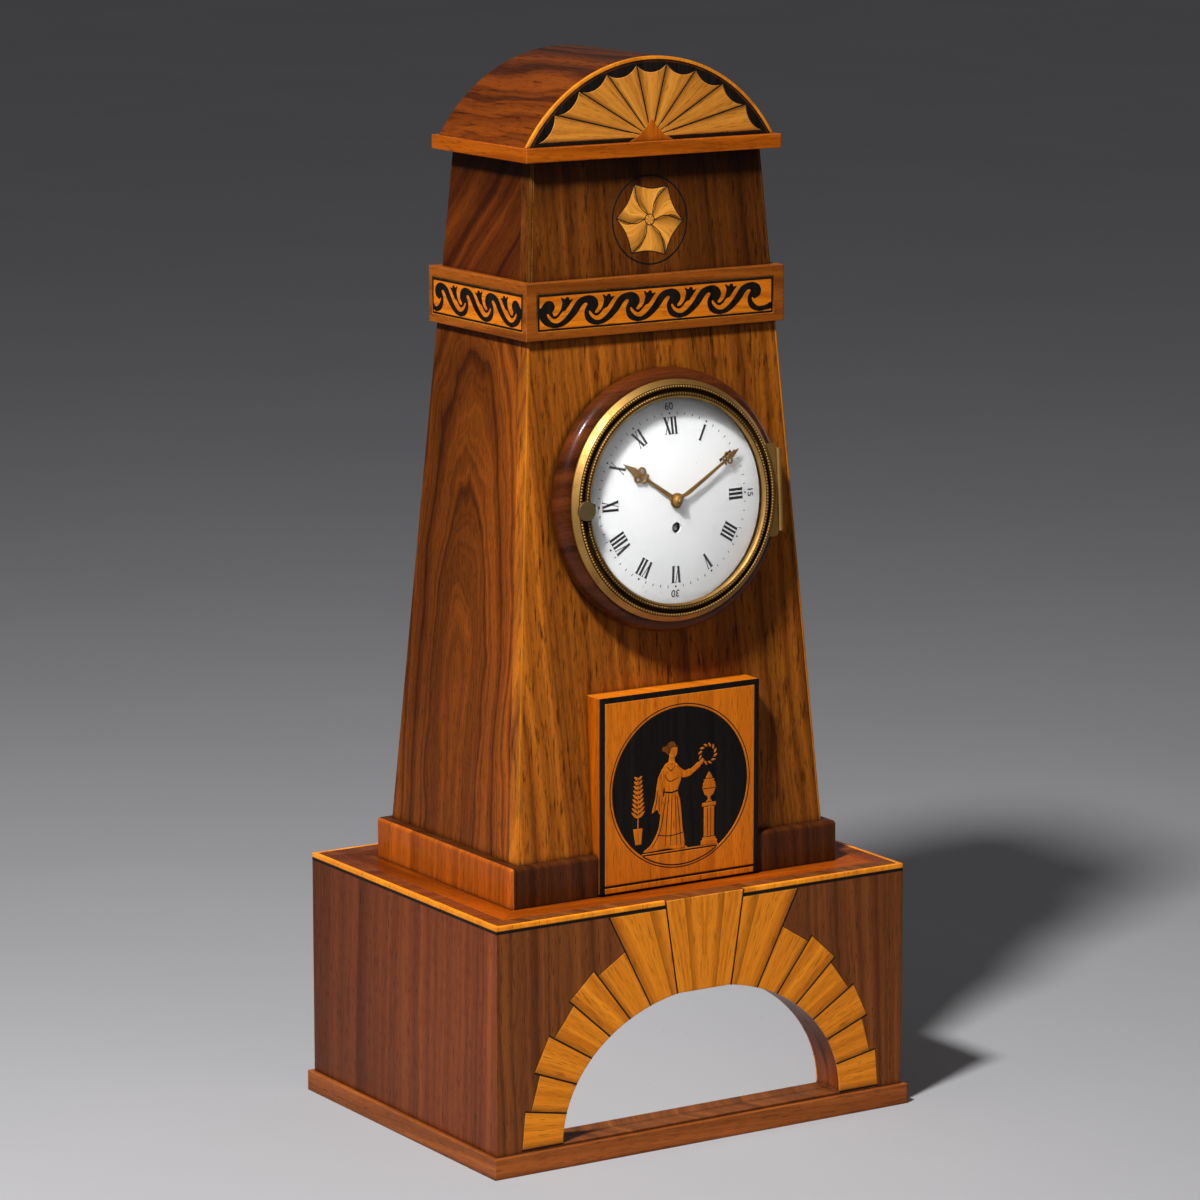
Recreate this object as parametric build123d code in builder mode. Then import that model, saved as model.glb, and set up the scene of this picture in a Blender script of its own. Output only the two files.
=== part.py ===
from build123d import *
import math
import os

# A tapered shelf clock. A box base with an arched mirror niche carries a tower whose four sides lean
# in, an inlaid frieze, a cornice and a barrel roof. A spring-driven pendulum movement stands behind
# an enamel dial, under a glazed bezel that hinges at three o'clock.
# Millimetres. The origin is the middle of the underside, +Z is up and the dial looks towards -Y.

# Base box
BASE_WIDTH = 280.0
BASE_DEPTH = 210.0
BASE_HEIGHT = 146.0
BASE_WALL = 12.0
BASE_FLOOR = 10.0
BASE_LID = 10.0
BASE_SKIRT_HEIGHT = 12.0
BASE_SKIRT_THICK = 3.0
EDGE_LINE = 2.6
MITRE_REACH = 20.0

# Arched niche, its stones and the mirror behind it
ARCH_MARGIN = 44.0
ARCH_RISE = 78.0
SILL_HEIGHT = 13.6
STONES_EACH_SIDE = 6
STONE_ANGLE = 10.5
STONE_REACH = 27.5
STONE_STAGGER = 4.0
KEYSTONE_HALF_TOP = 27.0
KEYSTONE_HALF_FOOT = 18.5
KEYSTONE_DROP = 1.6
FLANK_BELOW_TOP = 4.6
INLAY_DEPTH = 1.0
INLAY_JOINT = 0.6
MIRROR_THICK = 3.0
MIRROR_LAP = 8.0
CLEAT_WIDTH = 14.0
CLEAT_DEPTH = 9.0
CLEAT_HOLD = 4.0

# Tower and its plinth strips
FOOT_WIDTH = 213.0
FOOT_DEPTH = 145.0
BATTER = 0.07
TOWER_HEIGHT = 420.0
TOWER_WALL = 10.0
CORNER_LINE = 1.2
PLINTH_SIDE_PROUD = 5.7
PLINTH_FRONT_PROUD = 4.5
PLINTH_HEIGHT = 24.0
PLINTH_ROUND = 2.5
CORNER_BLOCK = 22.0
CORNER_BLOCK_HEIGHT = 20.0

# Plaque on the tower's foot
PLAQUE_WIDTH = 109.0
PLAQUE_HEIGHT = 114.5
PLAQUE_PROUD = 6.5
PLAQUE_LIFT = 1.5
PLAQUE_EDGE = 3.2
PLAQUE_LINE = 1.4
ROUNDEL_RADIUS = 46.5
ROUNDEL_DROP = 0.5
EXERGUE_DEPTH = 39.0

# Frieze, patera, cornice and roof
FRIEZE_RISE = 320.0
FRIEZE_HEIGHT = 32.5
FRIEZE_PROUD = 3.4
PANEL_HEIGHT = 22.0
PANEL_LIFT = 4.5
PANEL_FRONT_MARGIN = 7.0
PANEL_SIDE_MARGIN = 3.5
PATERA_RISE = 383.0
PATERA_RADIUS = 22.6
PATERA_WAIST = 17.8
PATERA_SWIRL = 14.0
PATERA_TURN = -5.0
PATERA_EYE = 2.9
PETALS = 6
CORNICE_THICK = 8.0
CORNICE_PROUD = 8.9
ROOF_SIDE_INSET = 2.5
ROOF_END_INSET = 4.5
ROOF_RISE = 48.0
ROOF_SHELL = 3.2
ROOF_LINE = 2.0
LUNETTE_THICK = 8.0
FAN_LEAVES = 9
FAN_MARGIN = 0.6
FAN_SCALLOP = 4.6
FAN_FOCUS = 2.0
FAN_EYE = 5.0
FAN_JOINT = 0.5

# Door in the tower's back
DOOR_RISE = 160.0
DOOR_WIDTH = 96.0
DOOR_HEIGHT = 190.0
DOOR_THICK = 9.0
DOOR_GAP = 0.6
DOOR_HINGE_SPREAD = 60.0
DOOR_HINGE_LENGTH = 24.0
DOOR_LEAF_WIDTH = 12.0
DOOR_LEAF_THICK = 1.0
DOOR_LEAF_CLEAR = 0.4
DOOR_STRAP_LAP = 0.5
DOOR_KNUCKLE = 1.9
DOOR_KNUCKLE_LIFT = 0.3
DOOR_KNUCKLE_SHAKE = 0.15
DOOR_PIN = 0.9
BUTTON_LENGTH = 26.0
BUTTON_WIDTH = 8.0
BUTTON_THICK = 2.5
BUTTON_TAIL = 5.0
BUTTON_OFFSET = 8.0
BUTTON_CORNER = 3.5
BUTTON_GAP = 0.3
BUTTON_SCREW = 1.5
BUTTON_HEAD = 3.3
SCREW_HEAD_THICK = 1.2
SCREW_REACH = 0.8

# Dial, its wooden surround and the hinged bezel. Heights are in front of the tower's face.
DIAL_RISE = 223.7
DIAL_RADIUS = 61.0
DIAL_DOME = 5.5
DIAL_THICK = 1.5
DIAL_HOLE = 3.6
WINDING_HOLE = 3.1
DIAL_FOOT_RADIUS = 50.0
DIAL_FOOT = 1.5
DIAL_FOOT_END = 1.5
SURROUND_MARGIN = 14.8
SURROUND_PROUD = 14.5
SURROUND_ROUND = 6.5
REBATE_MARGIN = 5.0
BORE_MARGIN = 3.0
RECESS_STEP = 1.3
RECESS_ROOM = 0.3
PLATE_SEAT = 8.0
PLATE_THICK = 1.5
PLATE_ROOM = 0.5
PLATE_OPENING = 20.0
PLATE_SCREW = 1.3
PLATE_SCREW_HEAD = 2.1
BEZEL_LIFT = 0.2
BEZEL_MARGIN = 8.4
BEZEL_EDGE = 1.0
BEZEL_FLANGE = 4.1
BEZEL_FLOOR = 2.5
BEZEL_LIP = 5.7
BEZEL_BEAD = 0.9
BEZEL_BEVEL = 3.0
GROOVE_OUTSIDE = 3.2
GROOVE_INSIDE = 1.4
GROOVE_SLANT = 0.2
RIDGE_RISE = 0.6
LIP_INSET = 2.0
LIP_BEVEL = 0.9
LIP_DROP = 0.8
BEAD_OUTSIDE = 1.2
BEAD_INSIDE = 1.1
BEAD_RISE = 0.7
CUT_OVER = 2.0
GLASS_LAP = 1.7
GLASS_THICK = 1.5
GLASS_ROOM = 0.3
GLASS_RIM = 2.0
GLASS_DOME = 8.8
HINGE_HALF = 27.0
HINGE_KNUCKLE = 1.6
HINGE_PIN = 0.8
HINGE_REACH = 1.2
HINGE_GAP = 0.3
HINGE_RAISE = 0.8
HINGE_LEAF = 1.1
HINGE_LEAF_LIFT = 0.1
HINGE_LEAF_ROUND = 2.5
HINGE_STRAP_LAP = 2.0
HINGE_PLATE = 1.0
HINGE_PLATE_STEP = 1.5
HINGE_RECESS = 1.4
KNUCKLE_HALF = 24.0
KNUCKLE_MIDDLE = 9.0
KNUCKLE_SHAKE = 0.2
CATCH_MARGIN = 2.3
CATCH_SPINDLE = 1.6
CATCH_KNOB = 5.5
CATCH_KNOB_LIFT = 0.4
CATCH_KNOB_THICK = 2.0
CATCH_TONGUE = 6.8
TONGUE_WIDTH = 3.0
TONGUE_THICK = 1.5
TONGUE_LIFT = 1.3
TONGUE_ROOM = 0.5
TONGUE_SWING = 0.6

# Hands, shown at ten past ten
SHOWN_HOUR = 10
SHOWN_MINUTE = 10
HAND_THICK = 0.7
HAND_GAP = 0.6
HOUR_LENGTH = 41.0
MINUTE_LENGTH = 52.0
HOUR_CLEARANCE = 0.9
HOUR_HUB = 4.4
HOUR_SCROLL = 2.7
MINUTE_HUB = 3.6
MINUTE_SCROLL = 2.1
SHAFT_ROOT = 1.3
SHAFT_TIP = 0.75
HAND_COLLAR = 1.2
COLLET_RADIUS = 3.2
COLLET_SHOULDER = 3.0
COLLET_TIP = 1.9
COLLET_STEP = 0.8
COLLET_HEIGHT = 1.5

# Movement. Heights are measured from the tower's face, negative inside the case.
FRONT_PLATE = -4.0
PLATE_METAL = 2.0
PLATE_SPACE = 30.0
PLATE_HALF_WIDTH = 26.0
PLATE_TOP = 41.0
PLATE_FOOT = 31.0
PILLAR_HALF = 21.0
PILLAR_TOP = 36.0
PILLAR_FOOT = 26.0
PILLAR_RADIUS = 3.0
TENON_RADIUS = 1.6
TENON_END = 1.0
FIT = 0.02
RUNNING = 0.05
END_SHAKE = 0.2
WINDING_DROP = 15.6
GREAT_TEETH = 60
CENTRE_PINION = 12
CENTRE_TEETH = 72
THIRD_PINION = 8
THIRD_TEETH = 96
ESCAPE_PINION = 8
ESCAPE_TEETH = 40
ESCAPE_RADIUS = 10.0
CANNON_TEETH = 10
MINUTE_TEETH = 30
MINUTE_PINION = 8
HOUR_TEETH = 32
WHEEL_THICK = 1.2
THIN_WHEEL = 1.0
WHEEL_RIM = 1.2
WHEEL_HUB = 2.4
ARM_WIDTH = 1.3
ARM_LAP = 0.2
PINION_LAP = 1.5
CENTRE_MODULE = 0.36
THIRD_MODULE = 0.25
MOTION_MODULE = 0.5
THIRD_BEARING = 45.0
THIRD_LEVEL = 12.0
THIRD_STAFF = 0.9
THIRD_PIVOT = 0.7
ESCAPE_LEVEL = 5.0
ESCAPE_STAFF = 0.65
ESCAPE_PIVOT = 0.5
ESCAPE_DEPTH = 1.5
ESCAPE_TOOTH = (1.2, 1.8, 4.5)
ESCAPE_RIM = 2.8
ESCAPE_HUB = 2.0
ESCAPE_ARM = 1.1
ANCHOR_RISE = 14.0
PALLET_LIFT = 1.0
PALLET_ANGLE = 40.0
ANCHOR_THICK = 2.2
ANCHOR_OVERLAP = 0.6
ANCHOR_STAFF = 1.6
ANCHOR_PIVOT = 0.7
CRUTCH_RADIUS = 1.2
CRUTCH_HALF = 2.0
BARREL_RADIUS = 12.0
BARREL_WALL = 0.8
BARREL_LENGTH = 15.0
BARREL_ARBOR = 2.0
BARREL_LIFT = 3.0
GREAT_THICK = 1.5
COVER_THICK = 1.2
WINDING_PIVOT = 1.2
WINDING_NECK = 1.8
SQUARE_SIDE = 3.0
SQUARE_BELOW = 2.5
RATCHET_TEETH = 24
RATCHET_RADIUS = 6.5
RATCHET_DEPTH = 1.0
RATCHET_THICK = 1.2
RATCHET_LIFT = 0.2
CLICK_LEFT = 8.6
CLICK_BELOW = 9.4
CLICK_HUB = 2.3
CLICK_POST = 1.1
CLICK_POST_HEIGHT = 1.6
SPRING_THICK = 0.5
SPRING_PITCH = 1.2
SPRING_HALF_TURNS = 12
SPRING_CLEAR = 1.0
CENTRE_ARBOR = 1.5
CENTRE_PIPE = 1.25
CENTRE_PIVOT = 0.8
CENTRE_DROP = 4.0
CENTRE_END = 2.4
CANNON_PIPE = 2.0
CANNON_LIFT = 0.8
CANNON_LENGTH = 3.0
MOTION_POST = 1.0
MOTION_POST_HEIGHT = 7.0
MINUTE_LIFT = 0.7
MINUTE_PINION_LENGTH = 4.0
HOUR_LIFT = 3.6
HOUR_PIPE = 3.0
PENDULUM_LENGTH = 172.6
PENDULUM_BACK = 6.0
ROD_RADIUS = 1.0
ROD_HUB = 3.0
BOB_RADIUS = 17.0
BOB_THICK = 9.0
BOB_EDGE = 0.8
BOB_BOW = 0.4
NUT_RADIUS = 4.0
NUT_HEIGHT = 4.0

# Tooth shapes: height above and below the pitch circle in modules, width at pitch and tip as a share
WHEEL_TOOTH = (0.8, 1.1, 0.42, 0.16)
PINION_LEAF = (0.65, 1.2, 0.34, 0.12)

half_width = BASE_WIDTH / 2
half_depth = BASE_DEPTH / 2
inner_x = half_width - BASE_WALL
inner_y = half_depth - BASE_WALL
tower_top = BASE_HEIGHT + TOWER_HEIGHT
lean = math.atan(BATTER)


def polar(radius, angle):
    """The point at a radius and an angle in degrees."""
    return (radius * math.cos(math.radians(angle)), radius * math.sin(math.radians(angle)))


def drawn_in(corners, amount):
    """A convex outline, given counter-clockwise, with every side moved inwards."""
    sides = []
    for (x, y), (next_x, next_y) in zip(corners, corners[1:] + corners[:1]):
        length = math.hypot(next_x - x, next_y - y)
        normal_x, normal_y = (y - next_y) / length, (next_x - x) / length
        sides.append((normal_x, normal_y, normal_x * x + normal_y * y + amount))
    drawn = []
    for (a, b, c), (next_a, next_b, next_c) in zip(sides[-1:] + sides[:-1], sides):
        cross = a * next_b - next_a * b
        drawn.append(((c * next_b - next_c * b) / cross, (a * next_c - next_a * c) / cross))
    return drawn


def tower_width(level):
    return FOOT_WIDTH - 2 * BATTER * (level - BASE_HEIGHT)


def tower_depth(level):
    return FOOT_DEPTH - 2 * BATTER * (level - BASE_HEIGHT)


def front_face(level):
    """The tower's leaning front, with its origin at a level on the middle line."""
    normal = (0, -math.cos(lean), math.sin(lean))
    return Plane(origin=(0, -tower_depth(level) / 2, level), x_dir=(1, 0, 0), z_dir=normal)


def back_face(level):
    """The tower's leaning back, seen from behind."""
    normal = (0, math.cos(lean), math.sin(lean))
    return Plane(origin=(0, tower_depth(level) / 2, level), x_dir=(-1, 0, 0), z_dir=normal)


def upright(y, z):
    """An upright plane that looks to the front."""
    return Plane(origin=(0, y, z), x_dir=(1, 0, 0), z_dir=(0, -1, 0))


def write(name, *pieces):
    """Labels a piece, or a group of separate pieces, and writes it as one file."""
    node = pieces[0] if len(pieces) == 1 else Compound(children=list(pieces))
    node.label = name
    export_step(node, f"parts/{name}.step")


def block(x_low, x_high, y_low, y_high, z_low, z_high):
    """A plain squared block between limits."""
    with BuildPart() as box:
        with BuildSketch(Plane.XY.offset(z_low)):
            with Locations(((x_low + x_high) / 2, (y_low + y_high) / 2)):
                Rectangle(x_high - x_low, y_high - y_low)
        extrude(amount=z_high - z_low)
    return box.part


def mitred_frame(outside, core):
    """Four strips of the outside round the core, mitred: front, right, back and left."""
    box = outside.bounding_box()
    strips = []
    for turn in range(4):
        along, across = box.size.X, box.size.Y
        if turn % 2:
            along, across = across, along
        with BuildPart() as strip:
            with BuildSketch(Plane.XY.offset(box.min.Z).rotated((0, 0, 90 * turn))):
                with BuildLine():
                    Polyline(
                        (-along / 2, -across / 2),
                        (along / 2, -across / 2),
                        (along / 2 - MITRE_REACH, MITRE_REACH - across / 2),
                        (MITRE_REACH - along / 2, MITRE_REACH - across / 2),
                        close=True,
                    )
                make_face()
            extrude(amount=box.size.Z)
            add(outside, mode=Mode.INTERSECT)
            add(core, mode=Mode.SUBTRACT)
        strips.append(strip.part)
    return strips


def tower_loft(plan, low, high):
    """A piece whose plan, given at each level by its four edges, leans with the tower."""
    with BuildPart() as piece:
        for level in (low, high):
            x_low, x_high, y_low, y_high = plan(level)
            with BuildSketch(Plane.XY.offset(level)):
                with Locations(((x_low + x_high) / 2, (y_low + y_high) / 2)):
                    Rectangle(x_high - x_low, y_high - y_low)
        loft(ruled=True)
    return piece.part


os.makedirs("parts", exist_ok=True)

# Base: skirting, boxwood edge lines and the niche's stones come first, as they are let into the box

box_outside = block(-half_width, half_width, -half_depth, half_depth, 0, BASE_HEIGHT)
skirt_outside = block(
    -half_width - BASE_SKIRT_THICK,
    half_width + BASE_SKIRT_THICK,
    -half_depth - BASE_SKIRT_THICK,
    half_depth + BASE_SKIRT_THICK,
    0,
    BASE_SKIRT_HEIGHT,
)
write("base_skirting", *mitred_frame(skirt_outside, box_outside))

edge_low = BASE_HEIGHT - EDGE_LINE
edge_outside = block(-half_width, half_width, -half_depth, half_depth, edge_low, BASE_HEIGHT)
edge_core = block(
    EDGE_LINE - half_width,
    half_width - EDGE_LINE,
    EDGE_LINE - half_depth,
    half_depth - EDGE_LINE,
    edge_low,
    BASE_HEIGHT,
)
keystone_gap = block(
    -KEYSTONE_HALF_TOP,
    KEYSTONE_HALF_TOP,
    -half_depth,
    EDGE_LINE - half_depth,
    edge_low,
    BASE_HEIGHT,
)
edge_strips = mitred_frame(edge_outside, edge_core)
front_edge = edge_strips[0] - keystone_gap
base_edges = [*front_edge.solids(), *edge_strips[1:]]

arch_plane = upright(-half_depth, SILL_HEIGHT)
crown = ARCH_RISE - KEYSTONE_DROP
arch_top = BASE_HEIGHT - SILL_HEIGHT
arch_half = half_width - ARCH_MARGIN
stone_long = arch_half + STONE_REACH
stone_short = stone_long - STONE_STAGGER
stone_root = min(ARCH_RISE, arch_half) / 2

with BuildSketch() as niche:
    Ellipse(arch_half, ARCH_RISE)
    with Locations((0, crown / 2)):
        Rectangle(2 * arch_half, crown, mode=Mode.INTERSECT)


def keystone_side(height):
    """Half the keystone's width at a height above the sill."""
    spread = (KEYSTONE_HALF_TOP - KEYSTONE_HALF_FOOT) / (arch_top - crown)
    return KEYSTONE_HALF_FOOT + (height - crown) * spread


def stone_outlines():
    """Corners of every stone in the arch's plane: each side's springers, its flank, the keystone."""
    flank_top = arch_top - FLANK_BELOW_TOP
    flank_angle = STONES_EACH_SIDE * STONE_ANGLE
    right = []
    for order in range(STONES_EACH_SIDE):
        reach = stone_short if order % 2 else stone_long
        low, high = order * STONE_ANGLE, (order + 1) * STONE_ANGLE
        right.append([polar(stone_root, low), polar(reach, low), polar(reach, high), polar(stone_root, high)])
    right.append(
        [
            polar(stone_root, flank_angle),
            (flank_top / math.tan(math.radians(flank_angle)), flank_top),
            (keystone_side(flank_top), flank_top),
            (keystone_side(stone_root), stone_root),
        ]
    )
    left = [[(-x, y) for x, y in reversed(outline)] for outline in right]
    keystone = [
        (-KEYSTONE_HALF_FOOT, crown),
        (KEYSTONE_HALF_FOOT, crown),
        (KEYSTONE_HALF_TOP, arch_top),
        (-KEYSTONE_HALF_TOP, arch_top),
    ]
    return [*right, *left, keystone]


with BuildPart() as base_front:
    with BuildSketch(arch_plane):
        with Locations((0, BASE_HEIGHT / 2 - SILL_HEIGHT)):
            Rectangle(BASE_WIDTH, BASE_HEIGHT)
        add(niche.sketch, mode=Mode.SUBTRACT)
    extrude(amount=-BASE_WALL)
    with BuildSketch(arch_plane):
        for outline in stone_outlines():
            with BuildLine():
                Polyline(*outline, close=True)
            make_face()
        add(niche.sketch, mode=Mode.SUBTRACT)
    extrude(amount=-INLAY_DEPTH, mode=Mode.SUBTRACT)
    for edge in base_edges:
        add(edge, mode=Mode.SUBTRACT)
write("base_front", base_front.part)

stones = []
for outline in stone_outlines():
    with BuildPart() as stone:
        with BuildSketch(arch_plane.offset(-INLAY_DEPTH)):
            with BuildLine():
                Polyline(*drawn_in(outline, INLAY_JOINT / 2), close=True)
            make_face()
            add(niche.sketch, mode=Mode.SUBTRACT)
        extrude(amount=INLAY_DEPTH)
    stones.append(stone.part)
write("arch_voussoirs", *stones)

base_left = block(-half_width, -inner_x, -inner_y, inner_y, 0, BASE_HEIGHT)
base_right = block(inner_x, half_width, -inner_y, inner_y, 0, BASE_HEIGHT)
base_rear = block(-half_width, half_width, inner_y, half_depth, 0, BASE_HEIGHT)
write("base_side_left", base_left - base_edges)
write("base_side_right", base_right - base_edges)
write("base_back", base_rear - base_edges)
write("base_bottom", block(-inner_x, inner_x, -inner_y, inner_y, 0, BASE_FLOOR))
write("base_top", block(-inner_x, inner_x, -inner_y, inner_y, BASE_HEIGHT - BASE_LID, BASE_HEIGHT))

mirror_half = arch_half + MIRROR_LAP
mirror_top = SILL_HEIGHT + ARCH_RISE + MIRROR_LAP
mirror_plate = block(-mirror_half, mirror_half, -inner_y, MIRROR_THICK - inner_y, BASE_FLOOR, mirror_top)
write("mirror_plate", mirror_plate)

cleat_in = mirror_half - CLEAT_HOLD
cleat_out = cleat_in + CLEAT_WIDTH
cleat_back = CLEAT_DEPTH - inner_y
cleats = [
    block(-cleat_out, -cleat_in, -inner_y, cleat_back, BASE_FLOOR, mirror_top) - mirror_plate,
    block(cleat_in, cleat_out, -inner_y, cleat_back, BASE_FLOOR, mirror_top) - mirror_plate,
]

# Tower


def outside_plan(level):
    half_w, half_d = tower_width(level) / 2, tower_depth(level) / 2
    return -half_w, half_w, -half_d, half_d


def inside_plan(level):
    x_low, x_high, y_low, y_high = outside_plan(level)
    return x_low + TOWER_WALL, x_high - TOWER_WALL, y_low + TOWER_WALL, y_high - TOWER_WALL


def front_plan(level):
    x_low, x_high, y_low, _ = outside_plan(level)
    return x_low, x_high, y_low, y_low + TOWER_WALL


def back_plan(level):
    x_low, x_high, _, y_high = outside_plan(level)
    return x_low + TOWER_WALL, x_high - TOWER_WALL, y_high - TOWER_WALL, y_high


def left_plan(level):
    x_low, _, y_low, y_high = outside_plan(level)
    return x_low, x_low + TOWER_WALL, y_low + TOWER_WALL, y_high


def right_plan(level):
    _, x_high, y_low, y_high = outside_plan(level)
    return x_high - TOWER_WALL, x_high, y_low + TOWER_WALL, y_high


def left_line_plan(level):
    x_low, _, y_low, _ = outside_plan(level)
    return x_low, x_low + CORNER_LINE, y_low, y_low + CORNER_LINE


def right_line_plan(level):
    _, x_high, y_low, _ = outside_plan(level)
    return x_high - CORNER_LINE, x_high, y_low, y_low + CORNER_LINE


tower_core = tower_loft(outside_plan, BASE_HEIGHT, tower_top)
corner_lines = [tower_loft(plan, BASE_HEIGHT, tower_top) for plan in (left_line_plan, right_line_plan)]

dial_plane = front_face(BASE_HEIGHT + DIAL_RISE)
dial_axis = Axis(dial_plane.origin, dial_plane.z_dir)
section_plane = Plane(origin=dial_plane.origin, x_dir=dial_plane.x_dir, z_dir=-dial_plane.y_dir)
bore_radius = DIAL_RADIUS - BORE_MARGIN
patera_plane = front_face(BASE_HEIGHT + PATERA_RISE)


def petal_face(order):
    """One petal of the whirling patera, flat at the origin."""
    step = 360 / PETALS
    first = PATERA_TURN + order * step
    last = first + step
    eye = PATERA_EYE + INLAY_JOINT
    with BuildSketch() as petal:
        with BuildLine():
            ThreePointArc(
                polar(eye, first), polar(PATERA_RADIUS / 2, first + PATERA_SWIRL), polar(PATERA_RADIUS, first)
            )
            ThreePointArc(
                polar(PATERA_RADIUS, first), polar(PATERA_WAIST, first + step / 2), polar(PATERA_RADIUS, last)
            )
            ThreePointArc(
                polar(PATERA_RADIUS, last), polar(PATERA_RADIUS / 2, last + PATERA_SWIRL), polar(eye, last)
            )
            Line(polar(eye, last), polar(eye, first))
        make_face()
    return petal.sketch


petals = [petal_face(order) for order in range(PETALS)]
front_board = tower_loft(front_plan, BASE_HEIGHT, tower_top)
with BuildPart() as tower_front:
    add(front_board)
    with BuildSketch(dial_plane):
        Circle(bore_radius)
    extrude(amount=-2 * TOWER_WALL, mode=Mode.SUBTRACT)
    with BuildSketch(patera_plane):
        for petal in petals:
            add(petal)
        Circle(PATERA_EYE)
    extrude(amount=-INLAY_DEPTH, mode=Mode.SUBTRACT)
    for line in corner_lines:
        add(line, mode=Mode.SUBTRACT)
write("tower_front", tower_front.part)

patera_pieces = []
for petal in petals:
    with BuildPart() as inlay:
        with BuildSketch(patera_plane.offset(-INLAY_DEPTH)):
            add(petal)
        extrude(amount=INLAY_DEPTH)
    patera_pieces.append(inlay.part)
with BuildPart() as patera_eye:
    with BuildSketch(patera_plane.offset(-INLAY_DEPTH)):
        Circle(PATERA_EYE)
    extrude(amount=INLAY_DEPTH)
write("patera_petals", *patera_pieces, patera_eye.part)

write("tower_side_left", tower_loft(left_plan, BASE_HEIGHT, tower_top))
write("tower_side_right", tower_loft(right_plan, BASE_HEIGHT, tower_top))

block_space = tower_loft(inside_plan, BASE_HEIGHT, BASE_HEIGHT + CORNER_BLOCK_HEIGHT)
block_x = FOOT_WIDTH / 2 - TOWER_WALL - CORNER_BLOCK
block_y = FOOT_DEPTH / 2 - TOWER_WALL - CORNER_BLOCK
corner_blocks = [
    corner
    for corner in (
        block_space
        - block(-FOOT_WIDTH, FOOT_WIDTH, -block_y, block_y, 0, tower_top)
        - block(-block_x, block_x, -FOOT_DEPTH, FOOT_DEPTH, 0, tower_top)
    ).solids()
]
write("glue_blocks", *cleats, *corner_blocks)

plinth_half_x = FOOT_WIDTH / 2 + PLINTH_SIDE_PROUD
plinth_half_y = FOOT_DEPTH / 2 + PLINTH_FRONT_PROUD
plinth_top = BASE_HEIGHT + PLINTH_HEIGHT
plinth_block = block(-plinth_half_x, plinth_half_x, -plinth_half_y, plinth_half_y, BASE_HEIGHT, plinth_top)
plinth_edges = plinth_block.edges().filter_by(Axis.Z) + plinth_block.faces().sort_by(Axis.Z)[-1].edges()
plinth_outside = fillet(plinth_edges, PLINTH_ROUND)
plinth_strips = mitred_frame(plinth_outside, tower_core)
plaque_gap = block(-PLAQUE_WIDTH / 2, PLAQUE_WIDTH / 2, -FOOT_DEPTH, 0, BASE_HEIGHT, plinth_top)
plinth_front = plinth_strips[0] - plaque_gap
write("tower_skirting", *plinth_front.solids(), *plinth_strips[1:])

# Plaque

plaque_low = BASE_HEIGHT + PLAQUE_LIFT
plaque_high = plaque_low + PLAQUE_HEIGHT
plaque_middle = (plaque_low + plaque_high) / 2
plaque_plane = upright(-FOOT_DEPTH / 2 - PLAQUE_PROUD, plaque_middle)
plaque_half = PLAQUE_WIDTH / 2
plaque_rise = PLAQUE_HEIGHT / 2
with BuildPart() as ebony_top:
    with BuildSketch(plaque_plane.offset(-INLAY_DEPTH)):
        with Locations((0, plaque_rise - PLAQUE_EDGE / 2)):
            Rectangle(PLAQUE_WIDTH, PLAQUE_EDGE)
    extrude(amount=INLAY_DEPTH)
with BuildPart() as ebony_sides:
    with BuildSketch(plaque_plane.offset(-INLAY_DEPTH)):
        with Locations(
            (PLAQUE_EDGE / 2 - plaque_half, -PLAQUE_EDGE / 2),
            (plaque_half - PLAQUE_EDGE / 2, -PLAQUE_EDGE / 2),
        ):
            Rectangle(PLAQUE_EDGE, PLAQUE_HEIGHT - PLAQUE_EDGE)
    extrude(amount=INLAY_DEPTH)
with BuildPart() as ebony_foot:
    with BuildSketch(plaque_plane.offset(-INLAY_DEPTH)):
        with Locations((0, PLAQUE_EDGE + PLAQUE_LINE / 2 - plaque_rise)):
            Rectangle(PLAQUE_WIDTH - 2 * PLAQUE_EDGE, PLAQUE_LINE)
    extrude(amount=INLAY_DEPTH)
with BuildPart() as ebony_roundel:
    with BuildSketch(plaque_plane.offset(-INLAY_DEPTH)):
        with Locations((0, ROUNDEL_DROP)):
            Circle(ROUNDEL_RADIUS)
        with Locations((0, ROUNDEL_DROP - EXERGUE_DEPTH - ROUNDEL_RADIUS)):
            Rectangle(2 * ROUNDEL_RADIUS, 2 * ROUNDEL_RADIUS, mode=Mode.SUBTRACT)
    extrude(amount=INLAY_DEPTH)
plaque_ebony = [ebony_top.part, *ebony_sides.part.solids(), ebony_foot.part, ebony_roundel.part]
with BuildPart() as plaque_block:
    with BuildSketch(Plane.YZ.offset(-plaque_half)):
        with BuildLine():
            Polyline(
                (plaque_plane.origin.Y, plaque_low),
                (-tower_depth(plaque_low) / 2, plaque_low),
                (-tower_depth(plaque_high) / 2, plaque_high),
                (plaque_plane.origin.Y, plaque_high),
                close=True,
            )
        make_face()
    extrude(amount=PLAQUE_WIDTH)
    for strip in plaque_ebony:
        add(strip, mode=Mode.SUBTRACT)
write("plaque_block", plaque_block.part)
write("plaque_ebony", *plaque_ebony)

# Frieze collar and its panels

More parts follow.
